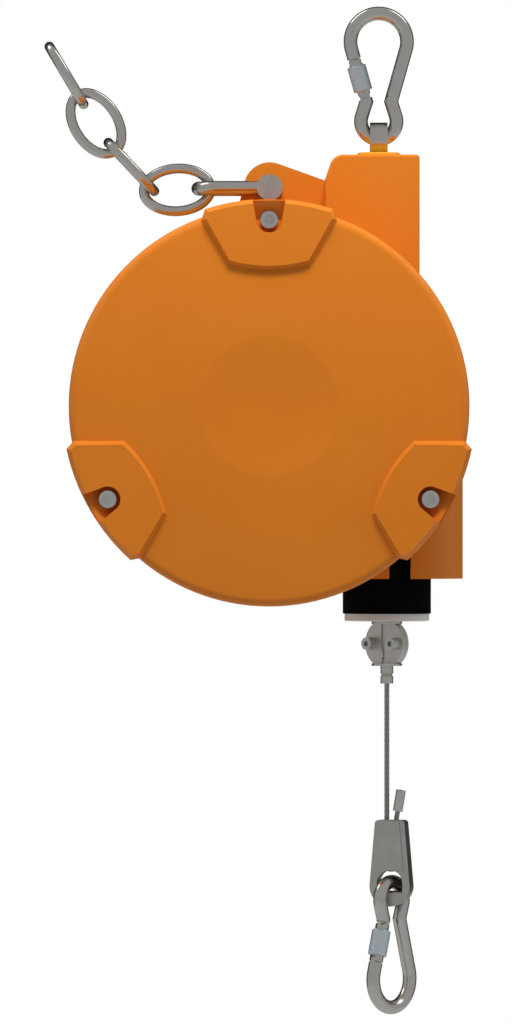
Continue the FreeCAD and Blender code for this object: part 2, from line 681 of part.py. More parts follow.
# The two castings of the housing. Their frame's origin is the casing axis.
def lobe_loop(grow="0"):
    """A lobe's outline on the cover, at the top of the casing."""
    rim = f"sqrt((lobe_radius) ^ 2 - (lobe_half - 2) ^ 2)"
    return [
        ("lobe_half", "casing_radius - 8"),
        ("lobe_half - 2", rim),
        ("0", "lobe_radius", "-lobe_half + 2", rim),
        ("-lobe_half", "casing_radius - 8"),
        ("-lobe_inner_half", "lobe_inner + 2"),
        ("0", "lobe_inner - lobe_bulge", "lobe_inner_half", "lobe_inner + 2"),
    ]


def cavity_loop():
    """A casting's inner wall: a circle with a bite about each cover screw."""
    bite = "acos((cavity_radius ^ 2 + screw_circle ^ 2 - boss_radius ^ 2)"
    bite += " / (2 * cavity_radius * screw_circle)) / (1 deg)"
    points = []
    for turn in (90, 210, 330):
        before = polar("cavity_radius", f"{turn} - {bite}")
        after = polar("cavity_radius", f"{turn} + {bite}")
        middle = polar("screw_circle - boss_radius", turn)
        points.append((*polar("cavity_radius", turn - 60), *before))
        points.append((*middle, *after))
    return points


def casing_place():
    """The frame of the pieces that lie about the casing axis."""
    return place("casing_x", "0", "casing_z")


def front_cover():
    """The domed front casting with three lobes for its screws."""
    cover = SubPart("front_cover", casing_place())
    crown = "face_y + face_rise"
    ball = "(dimple_radius ^ 2 / (2 * dimple_depth) + dimple_depth / 2)"
    land = "dimple_radius + dimple_land"
    dome = [
        ("0", "-parting"),
        ("casing_radius", "-parting"),
        ("casing_radius", "-face_y + rim_round"),
        (
            *polar("rim_round", -45, "casing_radius - rim_round", "-face_y + rim_round"),
            "casing_radius - rim_round",
            "-face_y",
        ),
        (
            f"(casing_radius + {land}) / 2",
            f"-face_y - face_rise * 0.7",
            land,
            f"-({crown})",
        ),
        ("0", f"-({crown})"),
    ]
    cover.revolve(cover.outline("XY_Plane", dome))
    dish = [("0", f"-{ball}"), (ball, "0", "0", ball)]
    cover.groove(cover.outline("XZ_Plane", dish, lift=f"{crown} - dimple_depth + {ball}"))
    base = cover.pad(cover.outline("XZ_Plane", lobe_loop(), lift="parting"), "cover_depth")
    cap = cover.pad(
        cover.outline("XZ_Plane", lobe_loop(), lift="face_y"),
        "lobe_height",
        TaperAngle="-lobe_draft",
    )
    cover.pattern([base, cap], 3)
    mouth = [
        ("-recess_radius", "screw_circle"),
        ("0", "screw_circle - recess_radius", "recess_radius", "screw_circle"),
        ("recess_mouth", "lobe_radius + 2"),
        ("-recess_mouth", "lobe_radius + 2"),
    ]
    recess = cover.pocket(
        cover.outline("XZ_Plane", mouth, lift="seat_y"), "recess_depth + 1", along=True
    )
    floor = [
        ("-seat_y + 1", "screw_circle"),
        ("-seat_y + 1", "lobe_radius - 1"),
        ("-seat_y - recess_slope", "lobe_radius - 1"),
        ("-seat_y", "screw_circle"),
    ]
    ramp = cover.pad(cover.outline("YZ_Plane", floor), "2 * recess_mouth + 2", both=True)
    head = ("0", "screw_circle", "screw_head / 2 + screw_play")
    seat = cover.pocket(cover.outline("XZ_Plane", head, lift="seat_y"), "recess_depth", along=True)
    hole = ("0", "screw_circle", "screw_size / 2 + screw_play")
    bore = cover.pocket(cover.outline("XZ_Plane", hole), "2 * lobe_y", along=True)
    cover.pattern([recess, ramp, seat, bore], 3)
    inside = cover.outline("XZ_Plane", cavity_loop(), lift="parting")
    cover.pocket(inside, "cover_depth - wall", along=True)
    boss = cover.outline(
        "XZ_Plane",
        ("0", "0", "arbor / 2 + wall"),
        ("0", "0", "arbor / 2 + arbor_play"),
        lift="case_front + 2",
    )
    cover.pad(boss, "face_y - case_front - 2 - 1")


def block_pads(rear):
    """The block that hangs on the shank, and the ear for the safety chain."""
    top = "block_top - casing_z"
    corner = "2"
    right = "block_right - casing_x"
    left = "-block_left - casing_x"
    shoulder = "-block_shoulder - casing_x"
    block = [
        (right, "0"),
        (right, f"{top} - {corner}"),
        (*polar(corner, 45, f"{right} - {corner}", f"{top} - {corner}"),
         f"{right} - {corner}", top),
        (shoulder, top),
        (f"{shoulder} - 5.4", f"{top} - 1.9", f"{shoulder} - 7.8", f"{top} - 5.4"),
        (left, f"{top} - notch_drop"),
        (left, "0"),
    ]
    rear.pad(rear.outline("XZ_Plane", block), "2 * block_half", both=True)
    face = value("block_half")
    low = value("rear_radius") * 0.5
    rear.dress(
        "Fillet",
        "block_edge",
        lambda e: abs(abs(e.BoundBox.YMin) - face) < 0.01
        and abs(e.BoundBox.YLength) < 0.01
        and e.BoundBox.ZMax > low,
    )
    bolt = ("bolt_x - casing_x", "bolt_z - casing_z")
    foot = polar("ear_radius", "90 - ear_lean", *bolt)
    ear = [
        ("0", "cavity_radius - 6"),
        (left, "cavity_radius - 30"),
        (left, f"{top} - notch_drop"),
        foot,
        (*polar("ear_radius", "125 - ear_lean", *bolt), *polar("ear_radius", 165, *bolt)),
        ("bolt_x - casing_x - 20.5", "cavity_radius - 2"),
    ]
    rear.pad(rear.outline("XZ_Plane", ear), "2 * ear_half", both=True)


def chute_loop(inset="0"):
    """The rope outlet's plan, from above, drawn inwards by an inset."""
    right = f"chute_right - ({inset})"
    front = f"-parting + ({inset})"
    back = f"rear_back - chute_back - ({inset})"
    left = f"chute_right - chute_width + ({inset})"
    bend = f"(chute_round - ({inset}))"
    heel = f"(back_round - ({inset}) / 2)"
    return [
        (left, front),
        ("chute_right - chute_round", front),
        (*polar(bend, -45, "chute_right - chute_round", "chute_round - parting"),
         right, "chute_round - parting"),
        (right, f"{back} - {heel}"),
        (*polar(heel, 45, f"{right} - {heel}", f"{back} - {heel}"), f"{right} - {heel}", back),
        (left, back),
    ]


def rear_body(rear):
    """Block, ear, rope outlet and bowl of the rear housing."""
    block_pads(rear)
    rear.pad(rear.outline("XY_Plane", chute_loop()), "chute_drop", away=True)
    core = rear.outline("XY_Plane", chute_loop("wall"), lift="-chute_drop")
    rear.pocket(core, "chute_drop - wall", along=True)
    sleeve = ("rope_offset", "0", "buffer_radius + buffer_play + wall")
    rear.pad(rear.outline("XY_Plane", sleeve, lift="-chute_drop"), "chute_drop - wall")
    bowl = [
        ("0", "-parting"),
        ("rear_radius", "-parting"),
        ("rear_radius", "rear_back - back_round"),
        (
            *polar("back_round", 45, "rear_radius - back_round", "rear_back - back_round"),
            "rear_radius - back_round",
            "rear_back",
        ),
        ("0", "rear_back"),
    ]
    rear.revolve(rear.outline("XY_Plane", bowl))
    for turn in (90, -30, 210):
        spot = (*polar("screw_circle", turn), "boss_radius")
        boss = rear.outline("XZ_Plane", spot, lift="parting - boss_depth")
        rear.pad(boss, "boss_depth")
    inside = rear.outline("XZ_Plane", cavity_loop(), lift="parting")
    rear.pocket(inside, "parting + rear_back - wall")


def rear_holes(rear):
    """Bores for the shank, the arbor, the buffer, the bolt and the cover screws."""
    shank_x = "-casing_x"
    top = "block_top - casing_z"
    bush = rear.outline("XY_Plane", (shank_x, "0", "bush_outer / 2"), lift=f"{top} - shelf - 1")
    rear.pocket(bush, "shelf + 2", along=True)
    left = f"{shank_x} - chamber_half"
    right = f"{shank_x} + chamber_half"
    floor = "shank_end - chamber_room - casing_z"
    room = [(left, floor), (right, floor), (right, f"{top} - shelf"), (left, f"{top} - shelf")]
    window = rear.outline("XZ_Plane", room, lift="-block_half - 1")
    rear.pocket(window, "block_half + chamber_front + 1", along=True)
    bore = ("rope_offset", "0", "buffer_radius + buffer_play")
    seat = rear.outline("XY_Plane", bore, lift="-rear_radius")
    rear.pocket(seat, "rear_radius - chute_drop + buffer_grip + buffer_play", along=True)
    slot_right = "rope_offset + slot_left + slot_width"
    slot = [
        ("rope_offset + slot_left", "-chute_drop - 1"),
        (slot_right, "-chute_drop - 1"),
        (slot_right, "-chute_drop + slot_height"),
        ("rope_offset + slot_left", "-chute_drop + slot_height"),
    ]
    rear.pocket(rear.outline("XZ_Plane", slot, lift="parting - 2 * wall"), "3 * wall", along=True)
    bolt = ("bolt_x - casing_x", "bolt_z - casing_z", "bolt_size / 2 + bolt_play")
    rear.pocket(rear.outline("XZ_Plane", bolt), "4 * ear_half", both=True)
    hole = ("0", "screw_circle", "screw_size / 2 + 0.05")
    screw = rear.pocket(rear.outline("XZ_Plane", hole, lift="parting"), "screw_grip + 1")
    rear.pattern([screw], 3)


def rear_back_wall(rear):
    """Hub, gearbox and ribs of the rear housing's back wall."""
    hub = rear.outline("XZ_Plane", ("0", "0", "hub_radius"), lift="-rear_back + wall + hub_length")
    rear.pad(hub, "hub_length + 1", away=True)
    rib = [
        ("-rib_width / 2", "hub_radius"),
        ("rib_width / 2", "hub_radius"),
        ("rib_width / 2", "rear_radius - back_round"),
        ("-rib_width / 2", "rear_radius - back_round"),
    ]
    wing = rear.outline("XZ_Plane", rib, lift="-rear_back + 1", turn="0")
    rear.pattern([rear.pad(wing, "rib_height + 1", away=True)], 6)
    rim = "gearbox_radius"
    top = "worm_z + worm_radius + tooth_depth + gearbox_wall"
    half = "worm_half + 2 + gearbox_wall"
    base = f"sqrt(({rim}) ^ 2 - ({half}) ^ 2)"
    box = [
        (half, top),
        (f"-({half})", top),
        (f"-({half})", base),
        ("0", f"-({rim})", half, base),
    ]
    shell = rear.outline("XZ_Plane", box, lift="-rear_back + 1")
    rear.pad(shell, "gearbox_depth + 1", away=True)
    inner = f"({rim} - gearbox_wall)"
    room = f"(worm_half + 2)"
    sill = f"sqrt({inner} ^ 2 - {room} ^ 2)"
    well = [
        (room, f"{top} - gearbox_wall"),
        (f"-{room}", f"{top} - gearbox_wall"),
        (f"-{room}", sill),
        ("0", f"-{inner}", room, sill),
    ]
    hollow = rear.outline("XZ_Plane", well, lift="-rear_back")
    rear.pocket(hollow, "gearbox_depth + 1")
    axle = rear.outline("XZ_Plane", ("0", "0", "arbor / 2 + arbor_play"), lift="-rear_back - 1")
    rear.pocket(axle, "hub_length + wall + 2", along=True)
    journal = ("wheel_y", "worm_z", "worm_shaft / 2 + 0.1")
    side = rear.outline("YZ_Plane", journal, lift="-worm_half - 2 - gearbox_wall - 1")
    rear.pocket(side, "2 * worm_half + 4 + 2 * gearbox_wall + 2", along=True)


def rear_housing():
    """The rear casting: bowl, block, ear, rope outlet and gearbox."""
    rear = SubPart("rear_housing", casing_place())
    rear_body(rear)
    rear_back_wall(rear)
    rear_holes(rear)


def cap_screw(label, placement, size, head, head_height, flats, length):
    """A socket cap screw: its seat at the origin, its head towards -Y."""
    screw = SubPart(label, placement)
    screw.pad(screw.outline("XZ_Plane", ("0", "0", f"({head}) / 2")), head_height)
    screw.pad(screw.outline("XZ_Plane", ("0", "0", f"({size}) / 2")), length, away=True)
    socket = screw.outline("XZ_Plane", hexagon(flats), lift=head_height)
    screw.pocket(socket, f"({head_height}) / 2")


def cover_screws():
    """Three cap screws, one in each lobe."""
    length = "seat_y - parting + screw_grip"
    for number, turn in enumerate((90, 210, 330), 1):
        x, z = polar("screw_circle", turn, "casing_x", "casing_z")
        at = place(x, "-seat_y", z)
        cap_screw(f"cover_screw_{number}", at, "screw_size", "screw_head",
                  "screw_head_height", "screw_hexagon", length)


# Drum, spring and arbor, turned about the casing axis.
def turned(label, wall, placement=None):
    """A piece turned about the casing axis, from (radius, depth) points."""
    made = SubPart(label, placement or casing_place())
    made.revolve(made.outline("XY_Plane", wall))
    return made


def rope_drum():
    """The drum: hub, web, rim and two flanges."""
    web = "drum_wall / 2"
    inner = "drum_radius - drum_wall"
    turned("rope_drum", [
        ("bearing_bush / 2", "-drum_half"),
        ("drum_hub", "-drum_half"),
        ("drum_hub", f"-{web}"),
        (inner, f"-{web}"),
        (inner, "-drum_half"),
        ("drum_flange", "-drum_half"),
        ("drum_flange", "-drum_half + 2"),
        ("drum_radius", "-drum_half + 2"),
        ("drum_radius", "drum_half - 2"),
        ("drum_flange", "drum_half - 2"),
        ("drum_flange", "drum_half"),
        (inner, "drum_half"),
        (inner, web),
        ("drum_hub", web),
        ("drum_hub", "drum_half"),
        ("bearing_bush / 2", "drum_half"),
    ])


def drum_bearings():
    """Two flanged bushes pressed into the drum's hub."""
    for name, side in (("front", "-1"), ("rear", "1")):
        turned(f"drum_bearing_{name}", [
            ("arbor / 2 + arbor_play", f"{side} * (drum_half + 1.5)"),
            ("bearing_bush / 2 + 2", f"{side} * (drum_half + 1.5)"),
            ("bearing_bush / 2 + 2", f"{side} * drum_half"),
            ("bearing_bush / 2", f"{side} * drum_half"),
            ("bearing_bush / 2", f"{side} * (drum_half - bearing_length)"),
            ("arbor / 2 + arbor_play", f"{side} * (drum_half - bearing_length)"),
        ])


def spring_case():
    """The can on the drum's front that holds the mainspring."""
    turned("spring_case", [
        ("drum_hub + 3", "-case_front"),
        ("case_radius", "-case_front"),
        ("case_radius", "-drum_half"),
        ("drum_hub + 4", "-drum_half"),
        ("drum_hub + 4", "-drum_half - case_wall"),
        ("case_radius - case_wall", "-drum_half - case_wall"),
        ("case_radius - case_wall", "-case_front + case_wall"),
        ("drum_hub + 3", "-case_front + case_wall"),
    ])


def mainspring():
    """The spring's outer coils, wound against the case."""
    outer = "case_radius - case_wall"
    front = "-case_front + case_wall + spring_gap"
    back = "-drum_half - case_wall - spring_gap"
    turned("mainspring", [
        (f"{outer} - spring_coils", front),
        (outer, front),
        (outer, back),
        (f"{outer} - spring_coils", back),
    ])


def spring_arbor():
    """The shaft that the drum turns on and the spring's inner end hooks into."""
    arbor = SubPart("spring_arbor", casing_place())
    front = arbor.outline("XZ_Plane", ("0", "0", "arbor / 2"), lift="arbor_front")
    arbor.pad(front, "arbor_front + wheel_y + wheel_width / 2 + 2", away=True)
    half = "1.5"
    slot = [
        (f"-{half}", "-case_front + 2 * case_wall"),
        (half, "-case_front + 2 * case_wall"),
        (half, "-drum_half - 2 * case_wall"),
        (f"-{half}", "-drum_half - 2 * case_wall"),
    ]
    arbor.pocket(arbor.outline("XY_Plane", slot), "arbor", along=True)


def worm_wheel():
    """The wheel that turns the arbor, its teeth cut straight."""
    wheel = SubPart("worm_wheel", casing_place())
    tip = "wheel_radius + tooth_depth / 2"
    back = "-wheel_y - wheel_width / 2"
    blank = wheel.outline("XZ_Plane", ("0", "0", tip), ("0", "0", "arbor / 2 + 0.02"), lift=back)
    wheel.pad(blank, "wheel_width")
    root = "wheel_radius - tooth_depth / 2"
    gap = [
        ("-tooth_gap / 2", f"{tip} + 1"),
        ("-tooth_gap / 2 + 0.4", root),
        ("tooth_gap / 2 - 0.4", root),
        ("tooth_gap / 2", f"{tip} + 1"),
    ]
    cut = wheel.pocket(
        wheel.outline("XZ_Plane", gap, lift=f"{back} - 1"), "wheel_width + 2", along=True
    )
    wheel.pattern([cut], int(value("tooth_count")))


def worm_shaft():
    """The adjusting screw: a worm on a shaft with a hexagon end."""
    worm = SubPart("worm_shaft", place("casing_x", "wheel_y", "casing_z + worm_z"))
    start = "-worm_half - 2 - gearbox_wall + 0.5"
    core = worm.outline("YZ_Plane", ("0", "0", "worm_shaft / 2"), lift=start)
    worm.pad(core, f"worm_reach - ({start}) - 8")
    root = "worm_shaft / 2 - 0.4"
    tip = "worm_radius + tooth_depth / 2 - 0.2"
    first = "-2.5 * tooth_pitch"
    thread = [
        (f"{first} - thread_width", root),
        (f"{first} - thread_width / 3", tip),
        (f"{first} + thread_width / 3", tip),
        (f"{first} + thread_width", root),
    ]
    profile = worm.outline("XZ_Plane", thread)
    turns = {"ReferenceAxis": (profile, ["H_Axis"]), "Mode": "pitch-height-angle"}
    worm.feature(
        "AdditiveHelix", profile, options=turns, Pitch="tooth_pitch", Height="5 * tooth_pitch"
    )
    end = worm.outline("YZ_Plane", hexagon("worm_shaft - 1"), lift="worm_reach - 9")
    worm.pad(end, "9")


def gear_cover():
    """The plate that closes the gearbox."""
    cover = SubPart("gear_cover", casing_place())
    rim = "gearbox_radius"
    top = "worm_z + worm_radius + tooth_depth + gearbox_wall"
    half = "worm_half + 2 + gearbox_wall"
    base = f"sqrt(({rim}) ^ 2 - ({half}) ^ 2)"
    plate = [
        (half, top),
        (f"-({half})", top),
        (f"-({half})", base),
        ("0", f"-({rim})", half, base),
    ]
    face = cover.outline("XZ_Plane", plate, lift="-rear_back - gearbox_depth")
    cover.pad(face, "gear_cover", away=True)


# Rope, outlet and rope stop.
def wound_rope():
    """The outer shape of the rope on the drum, behind the turn that runs off it."""
    turned("rope_on_drum", [
        ("drum_radius", "rope / 2 + rope_gap"),
        ("drum_radius + rope", "rope / 2 + rope_gap"),
        ("drum_radius + rope", "drum_half - 3"),
        ("drum_radius", "drum_half - 3"),
    ])


def straight_rope(label, top, bottom):
    """A taut length of rope."""
    run = SubPart(label, place("rope_x", "0", bottom))
    run.pad(run.outline("XY_Plane", ("0", "0", "rope / 2")), f"({top}) - ({bottom})")


def outlet_pieces():
    """The rubber buffer and the rope guide under the outlet."""
    at = place("rope_x", "0", "buffer_z")
    top = "buffer_drop + buffer_grip"
    ring("rubber_buffer", at, "guide_neck + buffer_play / 2", "buffer_radius", "0", top, "1")
    guide = SubPart("rope_guide", at)
    bore = "rope / 2 + rope_room"
    guide.revolve(guide.outline("XZ_Plane", [
        (bore, f"{top} - 1"),
        (bore, "-guide_height + 1"),
        (f"{bore} + 1", "-guide_height"),
        ("guide_radius - 0.5", "-guide_height"),
        ("guide_radius", "-guide_height + 0.5"),
        ("guide_radius", "0"),
        ("guide_neck", "0"),
        ("guide_neck", f"{top} - 1"),
    ]))


def clamp_half(label, at, side):
    """One half of the rope stop, on the side -1 (front) or 1 (rear)."""
    half = SubPart(label, at)
    tall = "stop_height / 2"
    chord = "sqrt(stop_radius ^ 2 - (stop_height / 2) ^ 2)"
    disc = [
        (f"-{chord}", tall),
        ("-stop_radius", "0", f"-{chord}", f"-{tall}"),
        (chord, f"-{tall}"),
        ("stop_radius", "0", chord, tall),
    ]
    front = side < 0
    face = half.outline("XZ_Plane", disc, lift="0.05" if front else "-0.05")
    half.pad(face, "stop_half - 0.05", away=not front)
    channel = half.outline("XY_Plane", ("0", "0", "rope / 2 + 0.05"))
    half.pocket(channel, "2 * stop_height", both=True)
    screws = half.outline(
        "XZ_Plane",
        ("-clamp_screws / 2", "0", "clamp_screw / 2 + 0.1"),
        ("clamp_screws / 2", "0", "clamp_screw / 2 + 0.1"),
    )
    half.pocket(screws, "4 * stop_half", both=True)
    if front:
        side_x = "stop_groove / 2"
        groove = [
            (f"-{side_x}", f"{tall} + 1"),
            (f"-{side_x}", "-1.4"),
            ("0", "-8.2"),
            (side_x, "-1.4"),
            (side_x, f"{tall} + 1"),
        ]
        cut = half.outline("XZ_Plane", groove, lift="stop_half - stop_groove_depth")
        half.pocket(cut, "stop_groove_depth + 1", along=True)
        notch = [
            ("-1.6", f"-{tall} - 1"),
            ("1.6", f"-{tall} - 1"),
            ("1.6", f"-{tall} + 2.2"),
            ("0", f"-{tall} + 3.8", "-1.6", f"-{tall} + 2.2"),
        ]
        foot = half.outline("XZ_Plane", notch, lift="stop_half - stop_groove_depth")
        half.pocket(foot, "stop_groove_depth + 1", along=True)


def rope_stop():
    """The clamp on the rope that meets the guide when the rope is in."""
    at = place("rope_x", "0", "clamp_z", UP, "-stop_turn")
    clamp_half("rope_stop_front", at, -1)
    clamp_half("rope_stop_rear", at, 1)
    for name, side in (("left", "-1"), ("right", "1")):
        spot = at.multiply(place(f"{side} * clamp_screws / 2", "-stop_half", "0"))
        cap_screw(f"clamp_screw_{name}", spot, "clamp_screw", "clamp_head",
                  "clamp_head_height", "3", "2 * stop_half + clamp_tail")
    bore = "rope / 2 + 0.05"
    low = "clamp_z + stop_height / 2"
    ring("stop_top_plate", place("rope_x", "0", low), bore, "stop_plate", "0",
         "stop_plate_height")
    low = "clamp_z - stop_height / 2 - stop_plate_height"
    ring("stop_bottom_plate", place("rope_x", "0", low), bore, "stop_plate", "0",
         "stop_plate_height")
    ferrule = SubPart("stop_ferrule", place("rope_x", "0", "ferrule_top"))
    waist = "ferrule_radius - ferrule_neck"
    ferrule.revolve(ferrule.outline("XZ_Plane", [
        (bore, "0"),
        (bore, "-ferrule_height"),
        ("ferrule_radius", "-ferrule_height"),
        ("ferrule_radius", "-ferrule_height / 2 - 0.9"),
        (waist, "-ferrule_height / 2 - 0.4"),
        (waist, "-ferrule_height / 2 + 0.2"),
        ("ferrule_radius", "-ferrule_height / 2 + 0.7"),
        ("ferrule_radius", "0"),
    ]))


# Wedge socket, its wedge, and the rope's end round the wedge.
def socket_place():
    """The socket's frame: origin at its mouth, turned about the rope."""
    return place("socket_x", "socket_y", "socket_z", UP, "-socket_turn")


def wedge_socket():
    """A tapered loop that grips the rope round a wedge, with a cross bar for the hook."""
    socket = SubPart("wedge_socket", socket_place())
    body = [
        ("-socket_top_half + 2", "0"),
        (
            *polar("2", 135, "-socket_top_half + 2", "-2"),
            "-socket_top_half",
            "-2",
        ),
        ("-socket_low_half", "-socket_length"),
        ("0", "-bar_bottom", "socket_low_half", "-socket_length"),
        ("socket_top_half", "-2"),
        (*polar("2", 45, "socket_top_half - 2", "-2"), "socket_top_half - 2", "0"),
    ]
    socket.pad(socket.outline("XZ_Plane", body), "2 * socket_half", both=True)
    panel = [
        ("-rope_side - rope", "0"),
        ("-loop_radius - rope / 2", "-eye_top"),
        ("loop_radius + rope / 2", "-eye_top"),
        ("rope_side + rope", "0"),
    ]
    socket.pad(
        socket.outline("XZ_Plane", panel), "2 * socket_half + 2 * panel_rise", both=True
    )
    eye = [
        ("-eye_half", "-bar_top + 1"),
        (*polar("1", 225, "-eye_half + 1", "-bar_top + 1"), "-eye_half + 1", "-bar_top"),
        ("eye_half - 1", "-bar_top"),
        (*polar("1", -45, "eye_half - 1", "-bar_top + 1"), "eye_half", "-bar_top + 1"),
        ("eye_half", "-eye_top - eye_half"),
        ("0", "-eye_top", "-eye_half", "-eye_top - eye_half"),
    ]
    socket.pocket(socket.outline("XZ_Plane", eye), "4 * socket_half", both=True)
    outer = "loop_radius + rope / 2 + rope_seat"
    mouth = "rope_side + rope / 2 + rope_seat"
    room = [
        (f"-({mouth})", "1"),
        (f"-({outer})", "-wedge_drop"),
        (f"-({outer})", "-eye_top - 4"),
        (outer, "-eye_top - 4"),
        (outer, "-wedge_drop"),
        (mouth, "1"),
    ]
    socket.pocket(socket.outline("XZ_Plane", room), "2 * slot_half", both=True)
    for side in (1, -1):
        slim = [
            (f"{side} * bar_half", "-eye_top - eye_half"),
            (f"{side} * (socket_half + 2)", "-eye_top - eye_half"),
            (f"{side} * (socket_half + 2)", "-bar_bottom - 1"),
            (f"{side} * bar_half", "-bar_bottom - 1"),
        ]
        socket.pocket(socket.outline("YZ_Plane", slim), "2 * eye_half", both=True)
    bar = value("bar_half")
    edges = (-value("bar_top"), -value("bar_bottom"))
    socket.dress(
        "Fillet",
        "2.4",
        lambda e: abs(abs(e.BoundBox.YMin) - bar) < 0.01
        and e.BoundBox.YLength < 0.01
        and e.BoundBox.ZLength < 0.01
        and abs(e.BoundBox.ZMin - edges[0]) < 0.01
        and e.BoundBox.XLength > 2,
    )


def rope_wedge():
    """The wedge that the rope loops round."""
    wedge = SubPart("rope_wedge", socket_place())
    narrow = "rope_side - rope / 2 - rope_seat"
    drop = [
        (f"-({narrow})", "-2"),
        ("-wedge_radius", "-wedge_drop"),
        ("0", "-wedge_drop - wedge_radius", "wedge_radius", "-wedge_drop"),
        (narrow, "-2"),
    ]
    wedge.pad(wedge.outline("XZ_Plane", drop), "2 * wedge_half", both=True)


def rope_end():
    """The rope in the socket: in at the mouth, round the wedge and out as a dead end."""
    rope = SubPart("rope_end", socket_place())
    reach = "sqrt(rope_side ^ 2 + wedge_drop ^ 2)"
    lean = f"(atan2(wedge_drop; rope_side) - acos(loop_radius / {reach})) / (1 deg)"
    left = polar("loop_radius", f"180 - {lean}", y="-wedge_drop")
    right = polar("loop_radius", lean, y="-wedge_drop")
    path = [
        ("-rope_side", "0"),
        left,
        ("0", "-wedge_drop - loop_radius", *right),
        ("rope_side", "0"),
        ("rope_side + dead_length * tan(dead_lean)", "dead_length"),
    ]
    rope.tube("XZ_Plane", path, "rope / 2")


def dead_end_ferrule():
    """The ferrule pressed on the rope's dead end."""
    low = "dead_length - dead_ferrule_height"
    at = place("rope_side", "0", "0", BACK, "dead_lean")
    ring("dead_end_ferrule", socket_place().multiply(at), "rope / 2 + 0.05", "dead_ferrule",
         f"{low}", f"{low} + dead_ferrule_height")


# Safety chain: a shackle on the ear and four links, each hung in the one before.
def chain_bolt():
    """A slotted bolt through shackle and ear."""
    bolt = SubPart("chain_bolt", place("bolt_x", "0", "bolt_z"))
    face = "shackle_leg + bolt_size / 2 + link_play"
    bolt.pad(bolt.outline("XZ_Plane", ("0", "0", "bolt_head"), lift=face), "bolt_head_height")
    shank = bolt.outline("XZ_Plane", ("0", "0", "bolt_size / 2"), lift=face)
    bolt.pad(shank, f"2 * ({face}) + bolt_nut_height + 1", away=True)
    half, reach = "bolt_slot / 2", "bolt_head + 1"
    slot = [(f"-{half}", f"-({reach})"), (half, f"-({reach})"), (half, reach),
            (f"-{half}", reach)]
    top = f"{face} + bolt_head_height"
    cut = bolt.outline("XZ_Plane", slot, lift=top, turn="-bolt_slot_lean")
    bolt.pocket(cut, "bolt_slot_depth")


def chain_bolt_nut():
    """The nut behind the shackle."""
    nut = SubPart("chain_bolt_nut", place("bolt_x", "0", "bolt_z"))
    face = "shackle_leg + bolt_size / 2 + link_play"
    blank = nut.outline(
        "XZ_Plane", hexagon("bolt_nut_flats"), ("0", "0", "bolt_size / 2 + 0.02"), lift=f"-({face})"
    )
    nut.pad(blank, "bolt_nut_height", away=True)


def chain_shackle():
    """A D shackle: a bent rod with an eye at each end."""
    shackle = SubPart("chain_shackle", place("bolt_x", "0", "bolt_z"))
    bend = "-shackle_length + shackle_leg"
    root = "-shackle_eye + 2"
    path = [
        (root, "-shackle_leg"),
        (bend, "-shackle_leg"),
        ("-shackle_length", "0", bend, "shackle_leg"),
        (root, "shackle_leg"),
    ]
    shackle.tube("XY_Plane", path, "bolt_size / 2")
    for away in (False, True):
        side = "shackle_leg - shackle_eye_width / 2"
        lift = f"-({side})" if away else side
        eye = shackle.outline("XZ_Plane", ("0", "0", "shackle_eye"), lift=lift)
        shackle.pad(eye, "shackle_eye_width", away=away)
    hole = shackle.outline("XZ_Plane", ("0", "0", "bolt_size / 2 + bolt_play"))
    shackle.pocket(hole, "4 * shackle_leg", both=True)


def chain_link(label, x, z, lean, on_edge):
    """An oval link: its middle, the direction of its length, and how it is turned."""
    spine = doc.addObject("Part::Ellipse", label + "_spine")
    spine.setExpression("MajorRadius", bind("link_long"))
    spine.setExpression("MinorRadius", bind("link_short"))
    section = doc.addObject("Part::Circle", label + "_section")
    section.setExpression("Radius", bind("link_wire / 2"))
    section.setExpression("Placement.Base.x", bind("link_long"))
    section.Placement.Rotation = FreeCAD.Rotation(RIGHT, 90)
    link = doc.addObject("Part::Sweep", label)
    link.Label = label
    link.Sections = [section]
    link.Spine = (spine, ["Edge1"])
    link.Solid = True
    link.Frenet = True
    turn = FreeCAD.Rotation(BACK, -value(lean))
    if not on_edge:
        turn = turn.multiply(FreeCAD.Rotation(RIGHT, 90))
    link.Placement = FreeCAD.Placement(FreeCAD.Vector(value(x), 0, value(z)), turn)
    pieces.append(link)


def chain_stations():
    """Where each hinge of the chain lies, and each link's middle and direction."""
    leans = ("link_two_lean", "link_three_lean", "link_four_lean", "link_five_lean")
    hinge = ("bolt_x - shackle_length", "bolt_z")
    stations = []
    for i, lean in enumerate(leans):
        before = "bolt_size / 2" if i == 0 else "link_wire / 2"
        if i % 2 == 0:
            start = f"-({before} + link_play + link_wire / 2)"
            reach = f"2 * link_long + {start} - link_wire - link_play"
        else:
            start = "0"
            reach = "2 * link_long"
        middle = polar(f"{start} + link_long", lean, *hinge)
        stations.append((hinge, middle, lean))
        hinge = polar(reach, lean, *hinge)
    return stations


def safety_chain():
    """The four links, alternately seen from the side and on edge."""
    for i, (hinge, middle, lean) in enumerate(chain_stations()):
        name = f"chain_link_{i + 2}"
        chain_link(name, *middle, lean, on_edge=i % 2 == 1)


